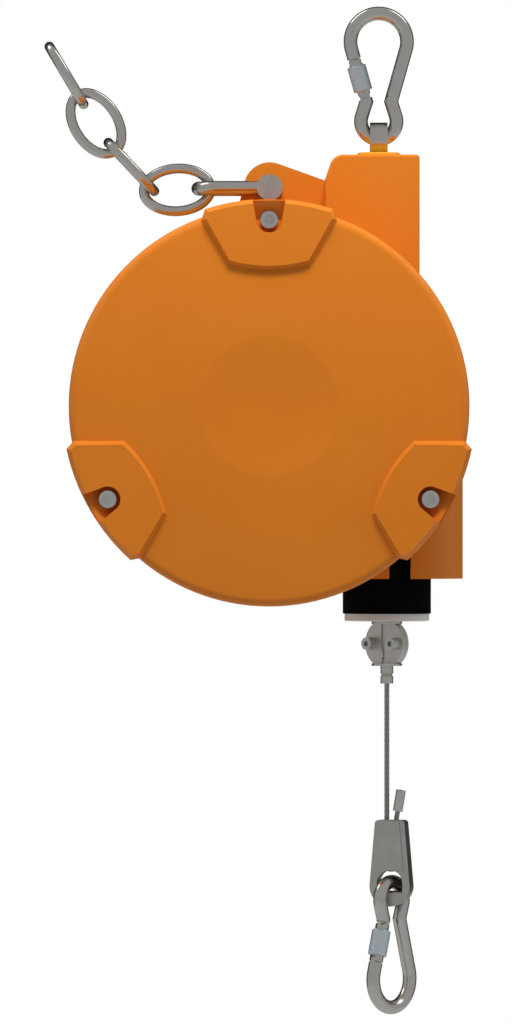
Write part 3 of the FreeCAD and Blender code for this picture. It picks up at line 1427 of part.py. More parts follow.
def build():
    """Makes every piece of the balancer."""
    snap_hook("hanging_hook", place(z="eye_z"))
    suspension_shank()
    shank_bush()
    ring("thrust_bearing", place(z="shelf_z"), "shank_rod / 2 + bush_play",
         "bearing_outer / 2", "-bearing_height", "0")
    shank_nut()
    shank_split_pin()
    front_cover()
    rear_housing()
    cover_screws()
    rope_drum()
    drum_bearings()
    spring_case()
    mainspring()
    spring_arbor()
    worm_wheel()
    worm_shaft()
    gear_cover()
    wound_rope()
    straight_rope("rope_upper_run", "casing_z", "stop_top")
    straight_rope("rope_lower_run", "stop_top", "socket_z + rope_gap")
    outlet_pieces()
    rope_stop()
    wedge_socket()
    rope_wedge()
    rope_end()
    dead_end_ferrule()
    hang = place("socket_x", "socket_y", "socket_z - bar_top + hook_seat + wire / 2")
    turned_over = FreeCAD.Placement(FreeCAD.Vector(), FreeCAD.Rotation(RIGHT, 180))
    facing = place(axis=UP, turn="hook_turn")
    snap_hook("load_hook", hang.multiply(facing).multiply(turned_over))
    chain_bolt()
    chain_bolt_nut()
    chain_shackle()
    safety_chain()
    doc.recompute()


def check():
    """Stops if any object failed or any piece is empty or not valid."""
    for thing in doc.Objects:
        if {"Invalid", "Error"} & set(thing.State):
            raise RuntimeError(f"{thing.Label} failed: {thing.State}")
    for piece in pieces:
        shape = piece.Shape
        if shape.isNull() or not shape.isValid() or not shape.Solids:
            raise RuntimeError(f"{piece.Label} has no valid solid")


def write():
    """Writes each piece to parts/LABEL.step."""
    os.makedirs("parts", exist_ok=True)
    for piece in pieces:
        piece.Shape.exportStep(f"parts/{piece.Label}.step")


build()
check()
write()
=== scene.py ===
"""Dresses a spring tool balancer: cast housing, snap hooks, wire rope and safety chain."""

import json
import logging
import math
from dataclasses import dataclass, field
from enum import Enum

import bmesh
import bpy
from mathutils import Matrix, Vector


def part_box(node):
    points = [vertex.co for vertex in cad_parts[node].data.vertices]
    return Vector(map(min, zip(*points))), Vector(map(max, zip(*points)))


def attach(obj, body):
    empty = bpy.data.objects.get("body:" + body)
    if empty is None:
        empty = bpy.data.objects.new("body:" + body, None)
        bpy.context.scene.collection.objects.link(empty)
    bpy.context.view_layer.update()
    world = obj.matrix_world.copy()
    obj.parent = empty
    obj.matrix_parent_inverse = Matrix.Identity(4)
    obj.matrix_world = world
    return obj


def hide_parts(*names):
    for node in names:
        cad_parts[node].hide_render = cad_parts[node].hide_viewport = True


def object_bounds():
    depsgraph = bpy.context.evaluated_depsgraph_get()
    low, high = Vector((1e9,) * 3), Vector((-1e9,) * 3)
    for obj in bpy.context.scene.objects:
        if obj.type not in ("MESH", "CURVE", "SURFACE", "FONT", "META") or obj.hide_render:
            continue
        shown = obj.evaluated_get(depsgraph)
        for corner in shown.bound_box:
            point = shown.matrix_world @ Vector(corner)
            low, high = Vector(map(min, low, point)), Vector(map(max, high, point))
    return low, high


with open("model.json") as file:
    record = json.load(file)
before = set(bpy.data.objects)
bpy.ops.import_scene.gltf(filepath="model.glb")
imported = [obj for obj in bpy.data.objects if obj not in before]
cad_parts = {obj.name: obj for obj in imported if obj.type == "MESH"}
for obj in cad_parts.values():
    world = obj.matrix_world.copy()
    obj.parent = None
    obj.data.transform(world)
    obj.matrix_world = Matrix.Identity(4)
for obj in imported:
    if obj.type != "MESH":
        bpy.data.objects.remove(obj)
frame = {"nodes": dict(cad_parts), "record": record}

LOG = logging.getLogger("balancer")
MM = 0.001
CAD_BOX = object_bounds()
Colour = tuple[float, float, float]


# Node trees.
class Tree:
    """A node tree with short calls to add nodes and to fill their sockets."""

    def __init__(self, tree: bpy.types.NodeTree) -> None:
        """Wraps a node tree.

        Args:
            tree: the material's, world's or group's tree.
        """
        self.tree = tree

    def add(self, kind: str, **settings: object) -> bpy.types.Node:
        """Adds a node.

        Args:
            kind: the node's Blender type, without "ShaderNode".
            settings: properties of the node.

        Returns:
            The new node.
        """
        node = self.tree.nodes.new("ShaderNode" + kind)
        for name, value in settings.items():
            setattr(node, name, value)
        return node

    def fill(self, node: bpy.types.Node, **sockets: object) -> bpy.types.Node:
        """Links or sets a node's inputs.

        Args:
            node: the node to fill.
            sockets: an input's name, with _ for a space, and a socket or a plain value.

        Returns:
            The same node.
        """
        for name, value in sockets.items():
            socket = node.inputs[name.replace("_", " ")]
            if isinstance(value, bpy.types.NodeSocket):
                self.tree.links.new(value, socket)
            else:
                socket.default_value = value
        return node

    def reckon(self, operation: str, *values: object) -> bpy.types.NodeSocket:
        """Adds a math node.

        Args:
            operation: the node's operation, such as "ADD".
            values: sockets or numbers, in order.

        Returns:
            The node's output.
        """
        node = self.add("Math", operation=operation)
        for socket, value in zip(node.inputs, values):
            if isinstance(value, bpy.types.NodeSocket):
                self.tree.links.new(value, socket)
            else:
                socket.default_value = value
        return node.outputs[0]

    def blend(self, amount: object, first: Colour, second: Colour) -> bpy.types.NodeSocket:
        """Mixes two colours.

        Args:
            amount: a socket from 0, first, to 1, second.
            first: the first colour.
            second: the second colour.

        Returns:
            The mixed colour's socket.
        """
        node = self.add("Mix", data_type="RGBA")
        self.tree.links.new(amount, node.inputs[0])
        node.inputs[6].default_value = (*first, 1)
        node.inputs[7].default_value = (*second, 1)
        return node.outputs[2]


class Effects:
    """Shader groups that several finishes share, each built once."""

    def __init__(self) -> None:
        """Builds the three groups."""
        self.grain = self._grain()
        self.streaks = self._streaks()
        self.handling = self._handling()

    def _group(self, name: str, inputs: dict[str, str], outputs: list[str]) -> tuple:
        """Makes an empty group.

        Args:
            name: the group's name.
            inputs: each input's name and socket type.
            outputs: the outputs' names, all numbers.

        Returns:
            The group, its tree wrapper, the input node and the output node.
        """
        group = bpy.data.node_groups.new(name, "ShaderNodeTree")
        for label, kind in inputs.items():
            group.interface.new_socket(label, in_out="INPUT", socket_type="NodeSocket" + kind)
        for label in outputs:
            group.interface.new_socket(label, in_out="OUTPUT", socket_type="NodeSocketFloat")
        inlet = group.nodes.new("NodeGroupInput")
        outlet = group.nodes.new("NodeGroupOutput")
        return group, Tree(group), inlet, outlet

    def _grain(self) -> bpy.types.NodeTree:
        """Fine and coarse noise, for the orange peel of paint and the skin of a casting.

        Returns:
            The group.
        """
        inputs = {"Vector": "Vector", "Fine": "Float", "Coarse": "Float"}
        group, tree, inlet, outlet = self._group("surface_grain", inputs, ["Height", "Shade"])
        place = inlet.outputs["Vector"]
        fine = tree.fill(tree.add("TexNoise"), Vector=place, Scale=inlet.outputs["Fine"], Detail=3.0)
        broad = tree.fill(
            tree.add("TexNoise"), Vector=place, Scale=inlet.outputs["Coarse"], Detail=4.0
        )
        mixed = tree.reckon("MULTIPLY_ADD", broad.outputs[0], 0.6, fine.outputs[0])
        group.links.new(mixed, outlet.inputs["Height"])
        group.links.new(broad.outputs[0], outlet.inputs["Shade"])
        return group

    def _streaks(self) -> bpy.types.NodeTree:
        """Lines across an axis, for turned and drawn metal.

        Returns:
            The group.
        """
        inputs = {"Vector": "Vector", "Axis": "Vector", "Density": "Float"}
        group, tree, inlet, outlet = self._group("turned_lines", inputs, ["Height", "Shade"])
        along = tree.add("VectorMath", operation="DOT_PRODUCT")
        group.links.new(inlet.outputs["Vector"], along.inputs[0])
        group.links.new(inlet.outputs["Axis"], along.inputs[1])
        place = tree.reckon("MULTIPLY", along.outputs["Value"], inlet.outputs["Density"])
        lines = tree.add("TexNoise", noise_dimensions="1D")
        tree.fill(lines, W=place, Scale=1.0, Detail=5.0, Roughness=0.7)
        group.links.new(lines.outputs[0], outlet.inputs["Height"])
        group.links.new(lines.outputs[0], outlet.inputs["Shade"])
        return group

    def _handling(self) -> bpy.types.NodeTree:
        """Soft smudges that change how a surface shines, in patches.

        Returns:
            The group.
        """
        inputs = {"Vector": "Vector", "Size": "Float", "Base": "Float", "Spread": "Float"}
        group, tree, inlet, outlet = self._group("handling_marks", inputs, ["Roughness", "Mask"])
        patch = tree.fill(
            tree.add("TexNoise"),
            Vector=inlet.outputs["Vector"],
            Scale=inlet.outputs["Size"],
            Detail=5.0,
        )
        ramp = tree.add("MapRange")
        tree.fill(ramp, Value=patch.outputs[0])
        ramp.inputs[1].default_value = 0.35
        ramp.inputs[2].default_value = 0.7
        rough = tree.reckon(
            "MULTIPLY_ADD", ramp.outputs[0], inlet.outputs["Spread"], inlet.outputs["Base"]
        )
        group.links.new(rough, outlet.inputs["Roughness"])
        group.links.new(ramp.outputs[0], outlet.inputs["Mask"])
        return group


# Finishes.
class Shine(Enum):
    """How a metal surface was finished."""

    POLISHED = 0.16
    SATIN = 0.3
    MATT = 0.5


class Skin:
    """A material under construction: its tree, its shader and its shared groups."""

    def __init__(self, name: str, effects: Effects) -> None:
        """Starts a material with a Principled shader.

        Args:
            name: the material's name.
            effects: the shared groups.
        """
        self.material = bpy.data.materials.new(name)
        self.material.use_nodes = True
        self.tree = Tree(self.material.node_tree)
        self.shader = self.material.node_tree.nodes["Principled BSDF"]
        self.effects = effects
        self.place = self.tree.add("TexCoord").outputs["Object"]

    def effect(self, group: bpy.types.NodeTree, **values: object) -> bpy.types.Node:
        """Places a shared group.

        Args:
            group: the group.
            values: its inputs.

        Returns:
            The group's node.
        """
        node = self.tree.add("Group", node_tree=group)
        return self.tree.fill(node, Vector=self.place, **values)

    def bump(self, height: bpy.types.NodeSocket, depth: float, strength: float = 1.0) -> None:
        """Feeds a height into the shader's normal.

        Args:
            height: the height's socket.
            depth: the bump's depth in metres.
            strength: the bump node's strength.
        """
        node = self.tree.add("Bump")
        self.tree.fill(node, Height=height, Distance=depth, Strength=strength)
        self.tree.fill(self.shader, Normal=node.outputs[0])


@dataclass(frozen=True)
class PowderCoat:
    """Satin powder paint on a casting."""

    name: str = "powder_coat"
    colour: Colour = (0.78, 0.235, 0.022)
    shade: Colour = (0.70, 0.195, 0.016)
    gloss: float = 0.36
    grain: float = 900.0
    depth: float = 0.00006

    def build(self, effects: Effects) -> bpy.types.Material:
        """Builds the material.

        Args:
            effects: the shared groups.

        Returns:
            The material.
        """
        skin = Skin(self.name, effects)
        grain = skin.effect(effects.grain, Fine=self.grain, Coarse=self.grain / 60)
        marks = skin.effect(effects.handling, Size=14.0, Base=self.gloss, Spread=0.08)
        colour = skin.tree.blend(grain.outputs["Shade"], self.colour, self.shade)
        skin.tree.fill(
            skin.shader,
            Base_Color=colour,
            Roughness=marks.outputs["Roughness"],
            Specular_IOR_Level=0.2,
        )
        skin.bump(grain.outputs["Height"], self.depth, 0.5)
        return skin.material


@dataclass(frozen=True)
class Steel:
    """Bare or plated steel, polished to matt."""

    name: str
    colour: Colour = (0.6, 0.58, 0.545)
    shade: Colour = (0.53, 0.515, 0.48)
    shine: Shine = Shine.POLISHED
    axis: Colour = (0.0, 0.0, 1.0)
    lines: float = 0.0
    depth: float = 0.00004

    def build(self, effects: Effects) -> bpy.types.Material:
        """Builds the material.

        Args:
            effects: the shared groups.

        Returns:
            The material.
        """
        skin = Skin(self.name, effects)
        marks = skin.effect(effects.handling, Size=60.0, Base=self.shine.value, Spread=0.1)
        if self.lines:
            detail = skin.effect(effects.streaks, Axis=self.axis, Density=self.lines)
        else:
            detail = skin.effect(effects.grain, Fine=2500.0, Coarse=120.0)
        colour = skin.tree.blend(detail.outputs["Shade"], self.colour, self.shade)
        skin.tree.fill(
            skin.shader, Base_Color=colour, Roughness=marks.outputs["Roughness"], Metallic=1.0
        )
        skin.bump(detail.outputs["Height"], self.depth, 0.35)
        return skin.material


@dataclass(frozen=True)
class Moulded:
    """Rubber or plastic from a mould."""

    name: str
    colour: Colour
    shade: Colour
    gloss: float
    shine: float = 0.3
    grain: float = 700.0
    depth: float = 0.00008

    def build(self, effects: Effects) -> bpy.types.Material:
        """Builds the material.

        Args:
            effects: the shared groups.

        Returns:
            The material.
        """
        skin = Skin(self.name, effects)
        grain = skin.effect(effects.grain, Fine=self.grain, Coarse=self.grain / 20)
        marks = skin.effect(effects.handling, Size=40.0, Base=self.gloss, Spread=0.12)
        colour = skin.tree.blend(grain.outputs["Shade"], self.colour, self.shade)
        skin.tree.fill(
            skin.shader,
            Base_Color=colour,
            Roughness=marks.outputs["Roughness"],
            Specular_IOR_Level=self.shine,
        )
        skin.bump(grain.outputs["Height"], self.depth, 0.5)
        return skin.material


# Shapes.
def centre(node: str) -> Vector:
    """The middle of a CAD node's box.

    Args:
        node: the node's name.

    Returns:
        The point in the row frame.
    """
    low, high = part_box(node)
    return (Vector(low) + Vector(high)) / 2


def joint(name: str) -> dict:
    """A joint of the record, by its name.

    Args:
        name: the joint's name.

    Returns:
        The joint's entry.
    """
    return next(j for j in frame["record"]["behaviour"]["joints"] if j["name"] == name)


def paint(nodes: list[str], material: bpy.types.Material) -> None:
    """Gives CAD nodes one material.

    Args:
        nodes: the nodes' names.
        material: the material.
    """
    for name in nodes:
        mesh = frame["nodes"][name]
        for place in mesh.material_slots:
            place.material = material
        LOG.info("dressed %s with %s", name, material.name)


def make(name: str, mesh: bmesh.types.BMesh, material: bpy.types.Material) -> bpy.types.Object:
    """Makes a smooth-shaded object from a mesh.

    Args:
        name: the piece's name.
        mesh: its geometry, in metres in the row frame.
        material: its material.

    Returns:
        The new object.
    """
    data = bpy.data.meshes.new(name)
    bmesh.ops.recalc_face_normals(mesh, faces=mesh.faces[:])
    mesh.to_mesh(data)
    mesh.free()
    piece = bpy.data.objects.new(name, data)
    bpy.context.scene.collection.objects.link(piece)
    data.materials.append(material)
    for face in data.polygons:
        face.use_smooth = True
    return piece


def loft(mesh: bmesh.types.BMesh, rings: list[list[Vector]], closed: bool = False) -> None:
    """Joins rings of points into a tube and closes its ends.

    Args:
        mesh: the mesh that gets the faces.
        rings: the rings, each with the same number of points.
        closed: whether the last ring joins the first.
    """
    loops = [[mesh.verts.new(point) for point in ring] for ring in rings]
    count = len(loops[0])
    pairs = list(zip(loops, loops[1:]))
    if closed:
        pairs.append((loops[-1], loops[0]))
    for low, high in pairs:
        for i in range(count):
            after = (i + 1) % count
            mesh.faces.new((low[i], low[after], high[after], high[i]))
    if not closed:
        mesh.faces.new(loops[0][::-1])
        mesh.faces.new(loops[-1])


def route(points: list[Vector], samples: int) -> list[Vector]:
    """Reads the points of a smooth spline through a route.

    Args:
        points: the route's control points.
        samples: how many points each control point gives.

    Returns:
        The spline's own points, in order.
    """
    data = bpy.data.curves.new("route", "CURVE")
    data.dimensions = "3D"
    spline = data.splines.new("NURBS")
    spline.points.add(len(points) - 1)
    for knot, point in zip(spline.points, points):
        knot.co = (*point, 1)
    spline.order_u = 3
    spline.use_endpoint_u = True
    spline.resolution_u = samples
    holder = bpy.data.objects.new("route", data)
    mesh = bpy.data.meshes.new_from_object(holder)
    read = [vertex.co.copy() for vertex in mesh.vertices]
    bpy.data.objects.remove(holder)
    bpy.data.meshes.remove(mesh)
    return read


def frames_along(path: list[Vector]) -> list[tuple[Vector, Vector, Vector, float]]:
    """Carries a cross-section along a path without twisting it.

    Args:
        path: the path's points.

    Returns:
        Each point with two directions across the path and the length so far.
    """
    out = []
    side = None
    length = 0.0
    for i, point in enumerate(path):
        before = path[max(i - 1, 0)]
        after = path[min(i + 1, len(path) - 1)]
        ahead = (after - before).normalized()
        if side is None:
            side = ahead.orthogonal().normalized()
        side = (side - ahead * side.dot(ahead)).normalized()
        length += (point - before).length
        out.append((point, side, ahead.cross(side), length))
    return out


@dataclass
class WireRope:
    """A stranded rope: strands laid about a core."""

    diameter: float = 3.0 * MM
    strands: int = 6
    lay: float = 19.0 * MM
    samples: int = 60
    sides: int = 8

    def build(self, name: str, path: list[Vector], material: bpy.types.Material) -> bpy.types.Object:
        """Lays the rope along a route.

        Args:
            name: the piece's name.
            path: the route's control points.
            material: the rope's steel.

        Returns:
            The rope.
        """
        strand = self.diameter / 6
        reach = self.diameter / 2 - strand
        mesh = bmesh.new()
        stations = frames_along(route(path, self.samples))
        for number in range(self.strands + 1):
            out = 0.0 if number == self.strands else reach
            rings = []
            for point, side, other, length in stations:
                turn = 2 * math.pi * (length / self.lay + number / self.strands)
                across = side * math.cos(turn) + other * math.sin(turn)
                rings.append(self._ring(point + across * out, side, other, strand))
            loft(mesh, rings)
        return make(name, mesh, material)

    def _ring(self, heart: Vector, side: Vector, other: Vector, size: float) -> list[Vector]:
        """One round cross-section of a strand."""
        turns = [2 * math.pi * i / self.sides for i in range(self.sides)]
        return [heart + side * (size * math.cos(t)) + other * (size * math.sin(t)) for t in turns]


# Sub-assemblies.
@dataclass
class Housing:
    """The two castings with what is fixed in them."""

    castings: list[str] = field(default_factory=lambda: ["front_cover", "rear_housing", "gear_cover"])
    body: str = "housing"

    def dress(self, finish: dict[str, bpy.types.Material]) -> None:
        """Gives the castings, screws, bush, buffer and guide their finishes.

        Args:
            finish: the materials by name.
        """
        paint(self.castings, finish["paint"])
        paint([f"cover_screw_{i}" for i in (1, 2, 3)], finish["screw"])
        paint(["shank_bush"], finish["bush"])
        paint(["rubber_buffer"], finish["rubber"])
        paint(["rope_guide"], finish["guide"])
        paint(["thrust_bearing", "shank_nut", "shank_split_pin"], finish["machined"])


@dataclass
class Winding:
    """The drum, its spring and the worm gear, behind the cover."""

    def dress(self, finish: dict[str, bpy.types.Material]) -> None:
        """Gives the hidden metal its finishes.

        Args:
            finish: the materials by name.
        """
        paint(["rope_drum", "spring_case"], finish["cast"])
        paint(["drum_bearing_front", "drum_bearing_rear", "worm_wheel"], finish["bronze"])
        paint(["mainspring", "spring_arbor", "worm_shaft"], finish["machined"])
        paint(["rope_on_drum", "rope_upper_run"], finish["rope"])


@dataclass
class SnapHook:
    """A snap hook with a threaded sleeve over its gate."""

    prefix: str
    sleeve_body: str
    slide: str
    outer: float = 5.5 * MM
    bore: float = 4.1 * MM
    length: float = 15.0 * MM
    ridges: int = 9
    groove: float = 0.06 * MM
    chamfer: float = 0.5 * MM
    sides: int = 48

    def dress(self, finish: dict[str, bpy.types.Material]) -> None:
        """Polishes the wire and builds the ridged sleeve.

        Args:
            finish: the materials by name.
        """
        paint([f"{self.prefix}_{part}" for part in ("frame", "gate", "gate_pin")], finish["polished"])
        sleeve = self._sleeve(finish[self.prefix])
        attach(sleeve, self.sleeve_body)
        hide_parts(f"{self.prefix}_sleeve")

    def _sleeve(self, material: bpy.types.Material) -> bpy.types.Object:
        """A turned sleeve with fine ridges round it.

        Args:
            material: the sleeve's steel.

        Returns:
            The sleeve.
        """
        axis = Vector(joint(self.slide)["axis"]).normalized()
        side = axis.orthogonal().normalized()
        other = axis.cross(side)
        middle = centre(f"{self.prefix}_sleeve")
        rings = []
        for along, radius in self._profile():
            heart = middle + axis * along
            turns = [2 * math.pi * i / self.sides for i in range(self.sides)]
            rings.append(
                [heart + side * (radius * math.cos(t)) + other * (radius * math.sin(t)) for t in turns]
            )
        mesh = bmesh.new()
        loft(mesh, rings, closed=True)
        return make(f"{self.prefix}_ridged_sleeve", mesh, material)

    def _profile(self) -> list[tuple[float, float]]:
        """The sleeve's section: place along the axis and radius.

        Returns:
            The corners of the section, from one end to the other.
        """
        half = self.length / 2
        chamfer = self.chamfer
        points = [(-half, self.bore), (-half, self.outer - chamfer), (chamfer - half, self.outer)]
        pitch = (self.length - 4 * chamfer) / self.ridges
        start = 2 * chamfer - half
        for i in range(self.ridges):
            at = start + pitch * i
            points += [
                (at, self.outer),
                (at + pitch * 0.3, self.outer - self.groove),
                (at + pitch * 0.6, self.outer - self.groove),
                (at + pitch * 0.9, self.outer),
            ]
        points += [(half - chamfer, self.outer), (half, self.outer - chamfer), (half, self.bore)]
        return points


@dataclass
class LoadLine:
    """Rope, rope stop and wedge socket."""

    rope: WireRope = field(default_factory=WireRope)
    body: str = "load_line"
    side: float = 2.8 * MM
    turn: float = math.radians(14.5)
    loop: tuple[tuple[float, float], ...] = (
        (-2.8, 0.0),
        (-6.3, -19.8),
        (-6.8, -23.5),
        (-4.4, -27.5),
        (0.0, -29.0),
        (4.4, -27.5),
        (6.8, -23.5),
        (6.3, -19.8),
        (3.5, -4.0),
        (2.8, 0.0),
        (3.5, 4.0),
        (5.7, 17.5),
    )

    def dress(self, finish: dict[str, bpy.types.Material]) -> None:
        """Dresses the metal pieces and lays the rope.

        Args:
            finish: the materials by name.
        """
        paint(["rope_stop_front", "rope_stop_rear", "stop_top_plate"], finish["machined"])
        paint(["stop_bottom_plate", "stop_ferrule", "rope_wedge"], finish["machined"])
        paint(["clamp_screw_left", "clamp_screw_right"], finish["screw"])
        paint(["wedge_socket"], finish["socket"])
        paint(["dead_end_ferrule"], finish["machined"])
        low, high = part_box("rope_lower_run")
        axis = centre("rope_lower_run")
        run = [Vector((axis.x, axis.y, z)) for z in (high[2], axis.z, low[2])]
        self._lay("stranded_run", run, "rope_lower_run", finish["rope"])
        self._lay("stranded_end", self._wedge_path(), "rope_end", finish["rope"])

    def _lay(self, name: str, path: list[Vector], node: str, steel: bpy.types.Material) -> None:
        """Lays rope along a path in place of a plain node.

        Args:
            name: the piece's name.
            path: the route's control points.
            node: the node that the piece replaces.
            steel: the rope's steel.
        """
        piece = self.rope.build(name, path, steel)
        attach(piece, self.body)
        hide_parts(node)

    def _wedge_path(self) -> list[Vector]:
        """The rope's way in at the mouth, round the wedge and out as a dead end.

        Returns:
            The route's control points.
        """
        axis = centre("rope_lower_run")
        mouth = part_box("wedge_socket")[1][2]
        across = Vector((math.cos(self.turn), -math.sin(self.turn), 0))
        origin = Vector((axis.x, axis.y, mouth)) + across * self.side
        return [origin + across * (u * MM) + Vector((0, 0, w * MM)) for u, w in self.loop]


@dataclass
class SafetyChain:
    """Shackle, bolt and links."""

    links: tuple[str, ...] = ("chain_link_2", "chain_link_3", "chain_link_4", "chain_link_5")

    def dress(self, finish: dict[str, bpy.types.Material]) -> None:
        """Gives the chain its polish and the bolt its machined face.

        Args:
            finish: the materials by name.
        """
        paint(["chain_shackle", *self.links], finish["polished"])
        paint(["chain_bolt", "chain_bolt_nut"], finish["screw"])


@dataclass
class Studio:
    """Camera, floor and light."""

    lens: float = 300.0
    sensor: float = 36.0
    height: float = 0.594
    middle: tuple[float, float] = (-0.0712, -0.2852)
    travel: float = 2.2
    floor: float = 8.0
    walls: float = 0.45
    long_lamp: float = 4.0
    dim: float = 0.06
    side: float = 0.8
    key_power: float = 6.5
    key_rise: float = 62.0
    key_away: float = 0.9
    key_aside: float = 0.05
    key_size: tuple[float, float] = (0.35, 0.2)

    def build(self) -> None:
        """Sets up the camera, the floor, the world and the lamps."""
        self._camera()
        self._floor()
        self._world()
        self._lamps()
        bpy.context.scene.view_settings.view_transform = "Standard"

    def _camera(self) -> None:
        """A long lens in front of the cover."""
        data = bpy.data.cameras.new("camera")
        data.sensor_fit = "VERTICAL"
        data.sensor_height = self.sensor
        data.lens = self.lens
        data.clip_end = 100.0
        camera = bpy.data.objects.new("camera", data)
        bpy.context.scene.collection.objects.link(camera)
        away = self.height * self.lens / self.sensor
        camera.location = (self.middle[0], -away, self.middle[1])
        camera.rotation_euler = (math.pi / 2, 0, 0)
        bpy.context.scene.camera = camera

    def _floor(self) -> None:
        """A pale floor under the load's longest travel."""
        mesh = bmesh.new()
        bmesh.ops.create_grid(mesh, x_segments=1, y_segments=1, size=self.floor)
        bmesh.ops.translate(mesh, verts=mesh.verts[:], vec=(0, 0, CAD_BOX[0][2] - self.travel))
        pale = bpy.data.materials.new("floor_paint")
        pale.use_nodes = True
        shader = pale.node_tree.nodes["Principled BSDF"]
        shader.inputs["Base Color"].default_value = (0.85, 0.85, 0.85, 1)
        shader.inputs["Roughness"].default_value = 0.7
        floor = make("floor", mesh, pale)

    def _world(self) -> None:
        """White to the camera, an even grey room to metal, and a dim surround for the rest."""
        world = bpy.data.worlds.new("studio")
        world.use_nodes = True
        bpy.context.scene.world = world
        tree = Tree(world.node_tree)
        ways = tree.add("SeparateXYZ")
        tree.tree.links.new(tree.add("TexCoord").outputs["Generated"], ways.inputs[0])
        room = tree.add("Background")
        tree.fill(room, Color=(1, 1, 1, 1), Strength=self._room(tree, ways))
        surround = tree.add("Background")
        tree.fill(surround, Color=(1, 1, 1, 1), Strength=self._surround(tree, ways))
        white = world.node_tree.nodes["Background"]
        tree.fill(white, Color=(1, 1, 1, 1), Strength=1.0)
        rays = tree.add("LightPath")
        lit = self._choose(tree, rays.outputs["Is Glossy Ray"], surround, room)
        seen = self._choose(tree, rays.outputs["Is Camera Ray"], lit, white)
        tree.tree.links.new(seen.outputs[0], world.node_tree.nodes["World Output"].inputs[0])

    def _choose(
        self, tree: Tree, test: bpy.types.NodeSocket, first: bpy.types.Node, second: bpy.types.Node
    ) -> bpy.types.Node:
        """Mixes two shaders.

        Args:
            tree: the tree.
            test: 0 for the first shader and 1 for the second.
            first: the first shader's node.
            second: the second shader's node.

        Returns:
            The mixing node.
        """
        choose = tree.add("MixShader")
        tree.tree.links.new(test, choose.inputs[0])
        tree.tree.links.new(first.outputs[0], choose.inputs[1])
        tree.tree.links.new(second.outputs[0], choose.inputs[2])
        return choose

    def _span(
        self, tree: Tree, value: bpy.types.NodeSocket, start: float, stop: float, low: float, high: float
    ) -> bpy.types.NodeSocket:
        """Eases a value's span onto another span.

        Args:
            tree: the tree.
            value: the value.
            start: where the change begins.
            stop: where it ends.
            low: the result before it.
            high: the result after it.

        Returns:
            The result's socket.
        """
        ramp = tree.add("MapRange", interpolation_type="SMOOTHSTEP")
        tree.tree.links.new(value, ramp.inputs[0])
        for number, amount in enumerate((start, stop, low, high), 1):
            ramp.inputs[number].default_value = amount
        return ramp.outputs[0]

    def _room(self, tree: Tree, ways: bpy.types.Node) -> bpy.types.NodeSocket:
        """What metal mirrors: even walls, dark behind, and a long lamp high on either side.

        Args:
            tree: the world tree.
            ways: the node that splits the direction into its parts.

        Returns:
            The brightness.
        """
        depth, rise = ways.outputs[1], ways.outputs[2]
        walls = self._span(tree, depth, 0.2, 0.62, self.walls, 0.03)
        front = self._span(tree, depth, -0.02, 0.06, 0.0, 1.0)
        back = self._span(tree, depth, 0.16, 0.26, 1.0, 0.0)
        low = self._span(tree, rise, 0.56, 0.64, 0.0, 1.0)
        high = self._span(tree, rise, 0.9, 0.95, 1.0, 0.0)
        patch = tree.reckon("MULTIPLY", tree.reckon("MULTIPLY", front, back), low)
        patch = tree.reckon("MULTIPLY", patch, high)
        return tree.reckon("MULTIPLY_ADD", patch, self.long_lamp, walls)

    def _surround(self, tree: Tree, ways: bpy.types.Node) -> bpy.types.NodeSocket:
        """What lights the rest: bright at the sides and above, dim in front, behind and below.

        Args:
            tree: the world tree.
            ways: the node that splits the direction into its parts.

        Returns:
            The brightness.
        """
        side = tree.reckon("ABSOLUTE", ways.outputs[0])
        sides = self._span(tree, side, 0.55, 0.95, self.dim, self.side)
        top = self._span(tree, ways.outputs[2], 0.3, 1.0, 0.0, self.side)
        return tree.reckon("ADD", sides, top)

    def _lamps(self) -> None:
        """A key lamp high in front, which metal doesn't mirror."""
        aim = centre("front_cover")
        rise = math.radians(self.key_rise)
        data = bpy.data.lights.new("key_lamp", "AREA")
        data.shape = "RECTANGLE"
        data.size, data.size_y = self.key_size
        data.energy = self.key_power
        lamp = bpy.data.objects.new("key_lamp", data)
        bpy.context.scene.collection.objects.link(lamp)
        lamp.location = aim + self.key_away * Vector((self.key_aside, -math.cos(rise), math.sin(rise)))
        lamp.rotation_euler = (aim - lamp.location).to_track_quat("-Z", "Y").to_euler()
        lamp.visible_glossy = False


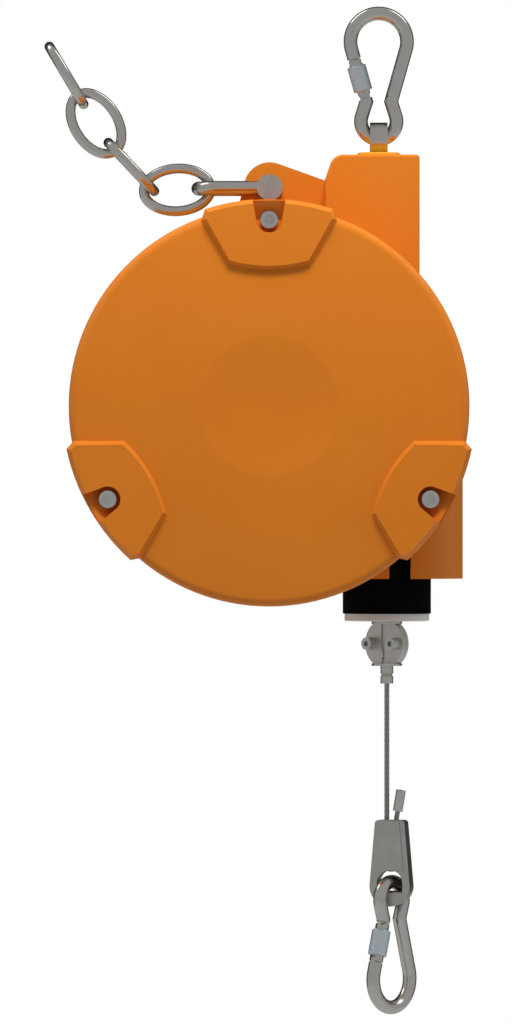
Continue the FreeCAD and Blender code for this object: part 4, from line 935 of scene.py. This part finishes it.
def finishes(effects: Effects) -> dict[str, bpy.types.Material]:
    """Builds each finish once.

    Args:
        effects: the shared groups.

    Returns:
        The materials by the name that the sub-assemblies use.
    """
    upper = tuple(joint("hanging_sleeve_slide")["axis"])
    lower = tuple(joint("load_sleeve_slide")["axis"])
    sleeve = {"colour": (0.72, 0.8, 0.85), "shade": (0.52, 0.59, 0.63), "shine": Shine.MATT}
    made = {
        "paint": PowderCoat(),
        "polished": Steel("polished_steel"),
        "machined": Steel("machined_steel", shine=Shine.SATIN, lines=2600.0),
        "socket": Steel("socket_steel", shine=Shine.SATIN, colour=(0.4, 0.39, 0.37)),
        "screw": Steel("screw_steel", (0.62, 0.62, 0.6), (0.5, 0.5, 0.49), Shine.SATIN),
        "rope": Steel("rope_steel", (0.46, 0.455, 0.44), (0.3, 0.3, 0.29), Shine.SATIN, lines=900.0),
        "hanging_hook": Steel("upper_sleeve_steel", axis=upper, lines=1800.0, **sleeve),
        "load_hook": Steel("lower_sleeve_steel", axis=lower, lines=1800.0, **sleeve),
        "cast": Steel("cast_metal", (0.55, 0.55, 0.55), (0.42, 0.42, 0.42), Shine.MATT),
        "bronze": Steel("bearing_bronze", (0.6, 0.38, 0.16), (0.5, 0.3, 0.12), Shine.SATIN),
        "bush": Moulded("bush_paint", (0.82, 0.36, 0.012), (0.76, 0.3, 0.01), 0.35),
        "rubber": Moulded("buffer_rubber", (0.0006,) * 3, (0.0014,) * 3, 0.75, 0.05),
        "guide": Moulded("guide_plastic", (0.8, 0.77, 0.72), (0.72, 0.69, 0.64), 0.5),
    }
    return {key: finish.build(effects) for key, finish in made.items()}


def main() -> None:
    """Builds and dresses the balancer, then the studio."""
    logging.basicConfig(level=logging.INFO, format="%(name)s %(message)s")
    finish = finishes(Effects())
    parts = [
        Housing(),
        Winding(),
        SnapHook("hanging_hook", "hanging_sleeve", "hanging_sleeve_slide"),
        SnapHook("load_hook", "load_sleeve", "load_sleeve_slide"),
        LoadLine(),
        SafetyChain(),
    ]
    paint(["suspension_shank"], finish["polished"])
    for part in parts:
        part.dress(finish)
        LOG.info("built %s", type(part).__name__)
    Studio().build()


if __name__ == "__main__":
    main()
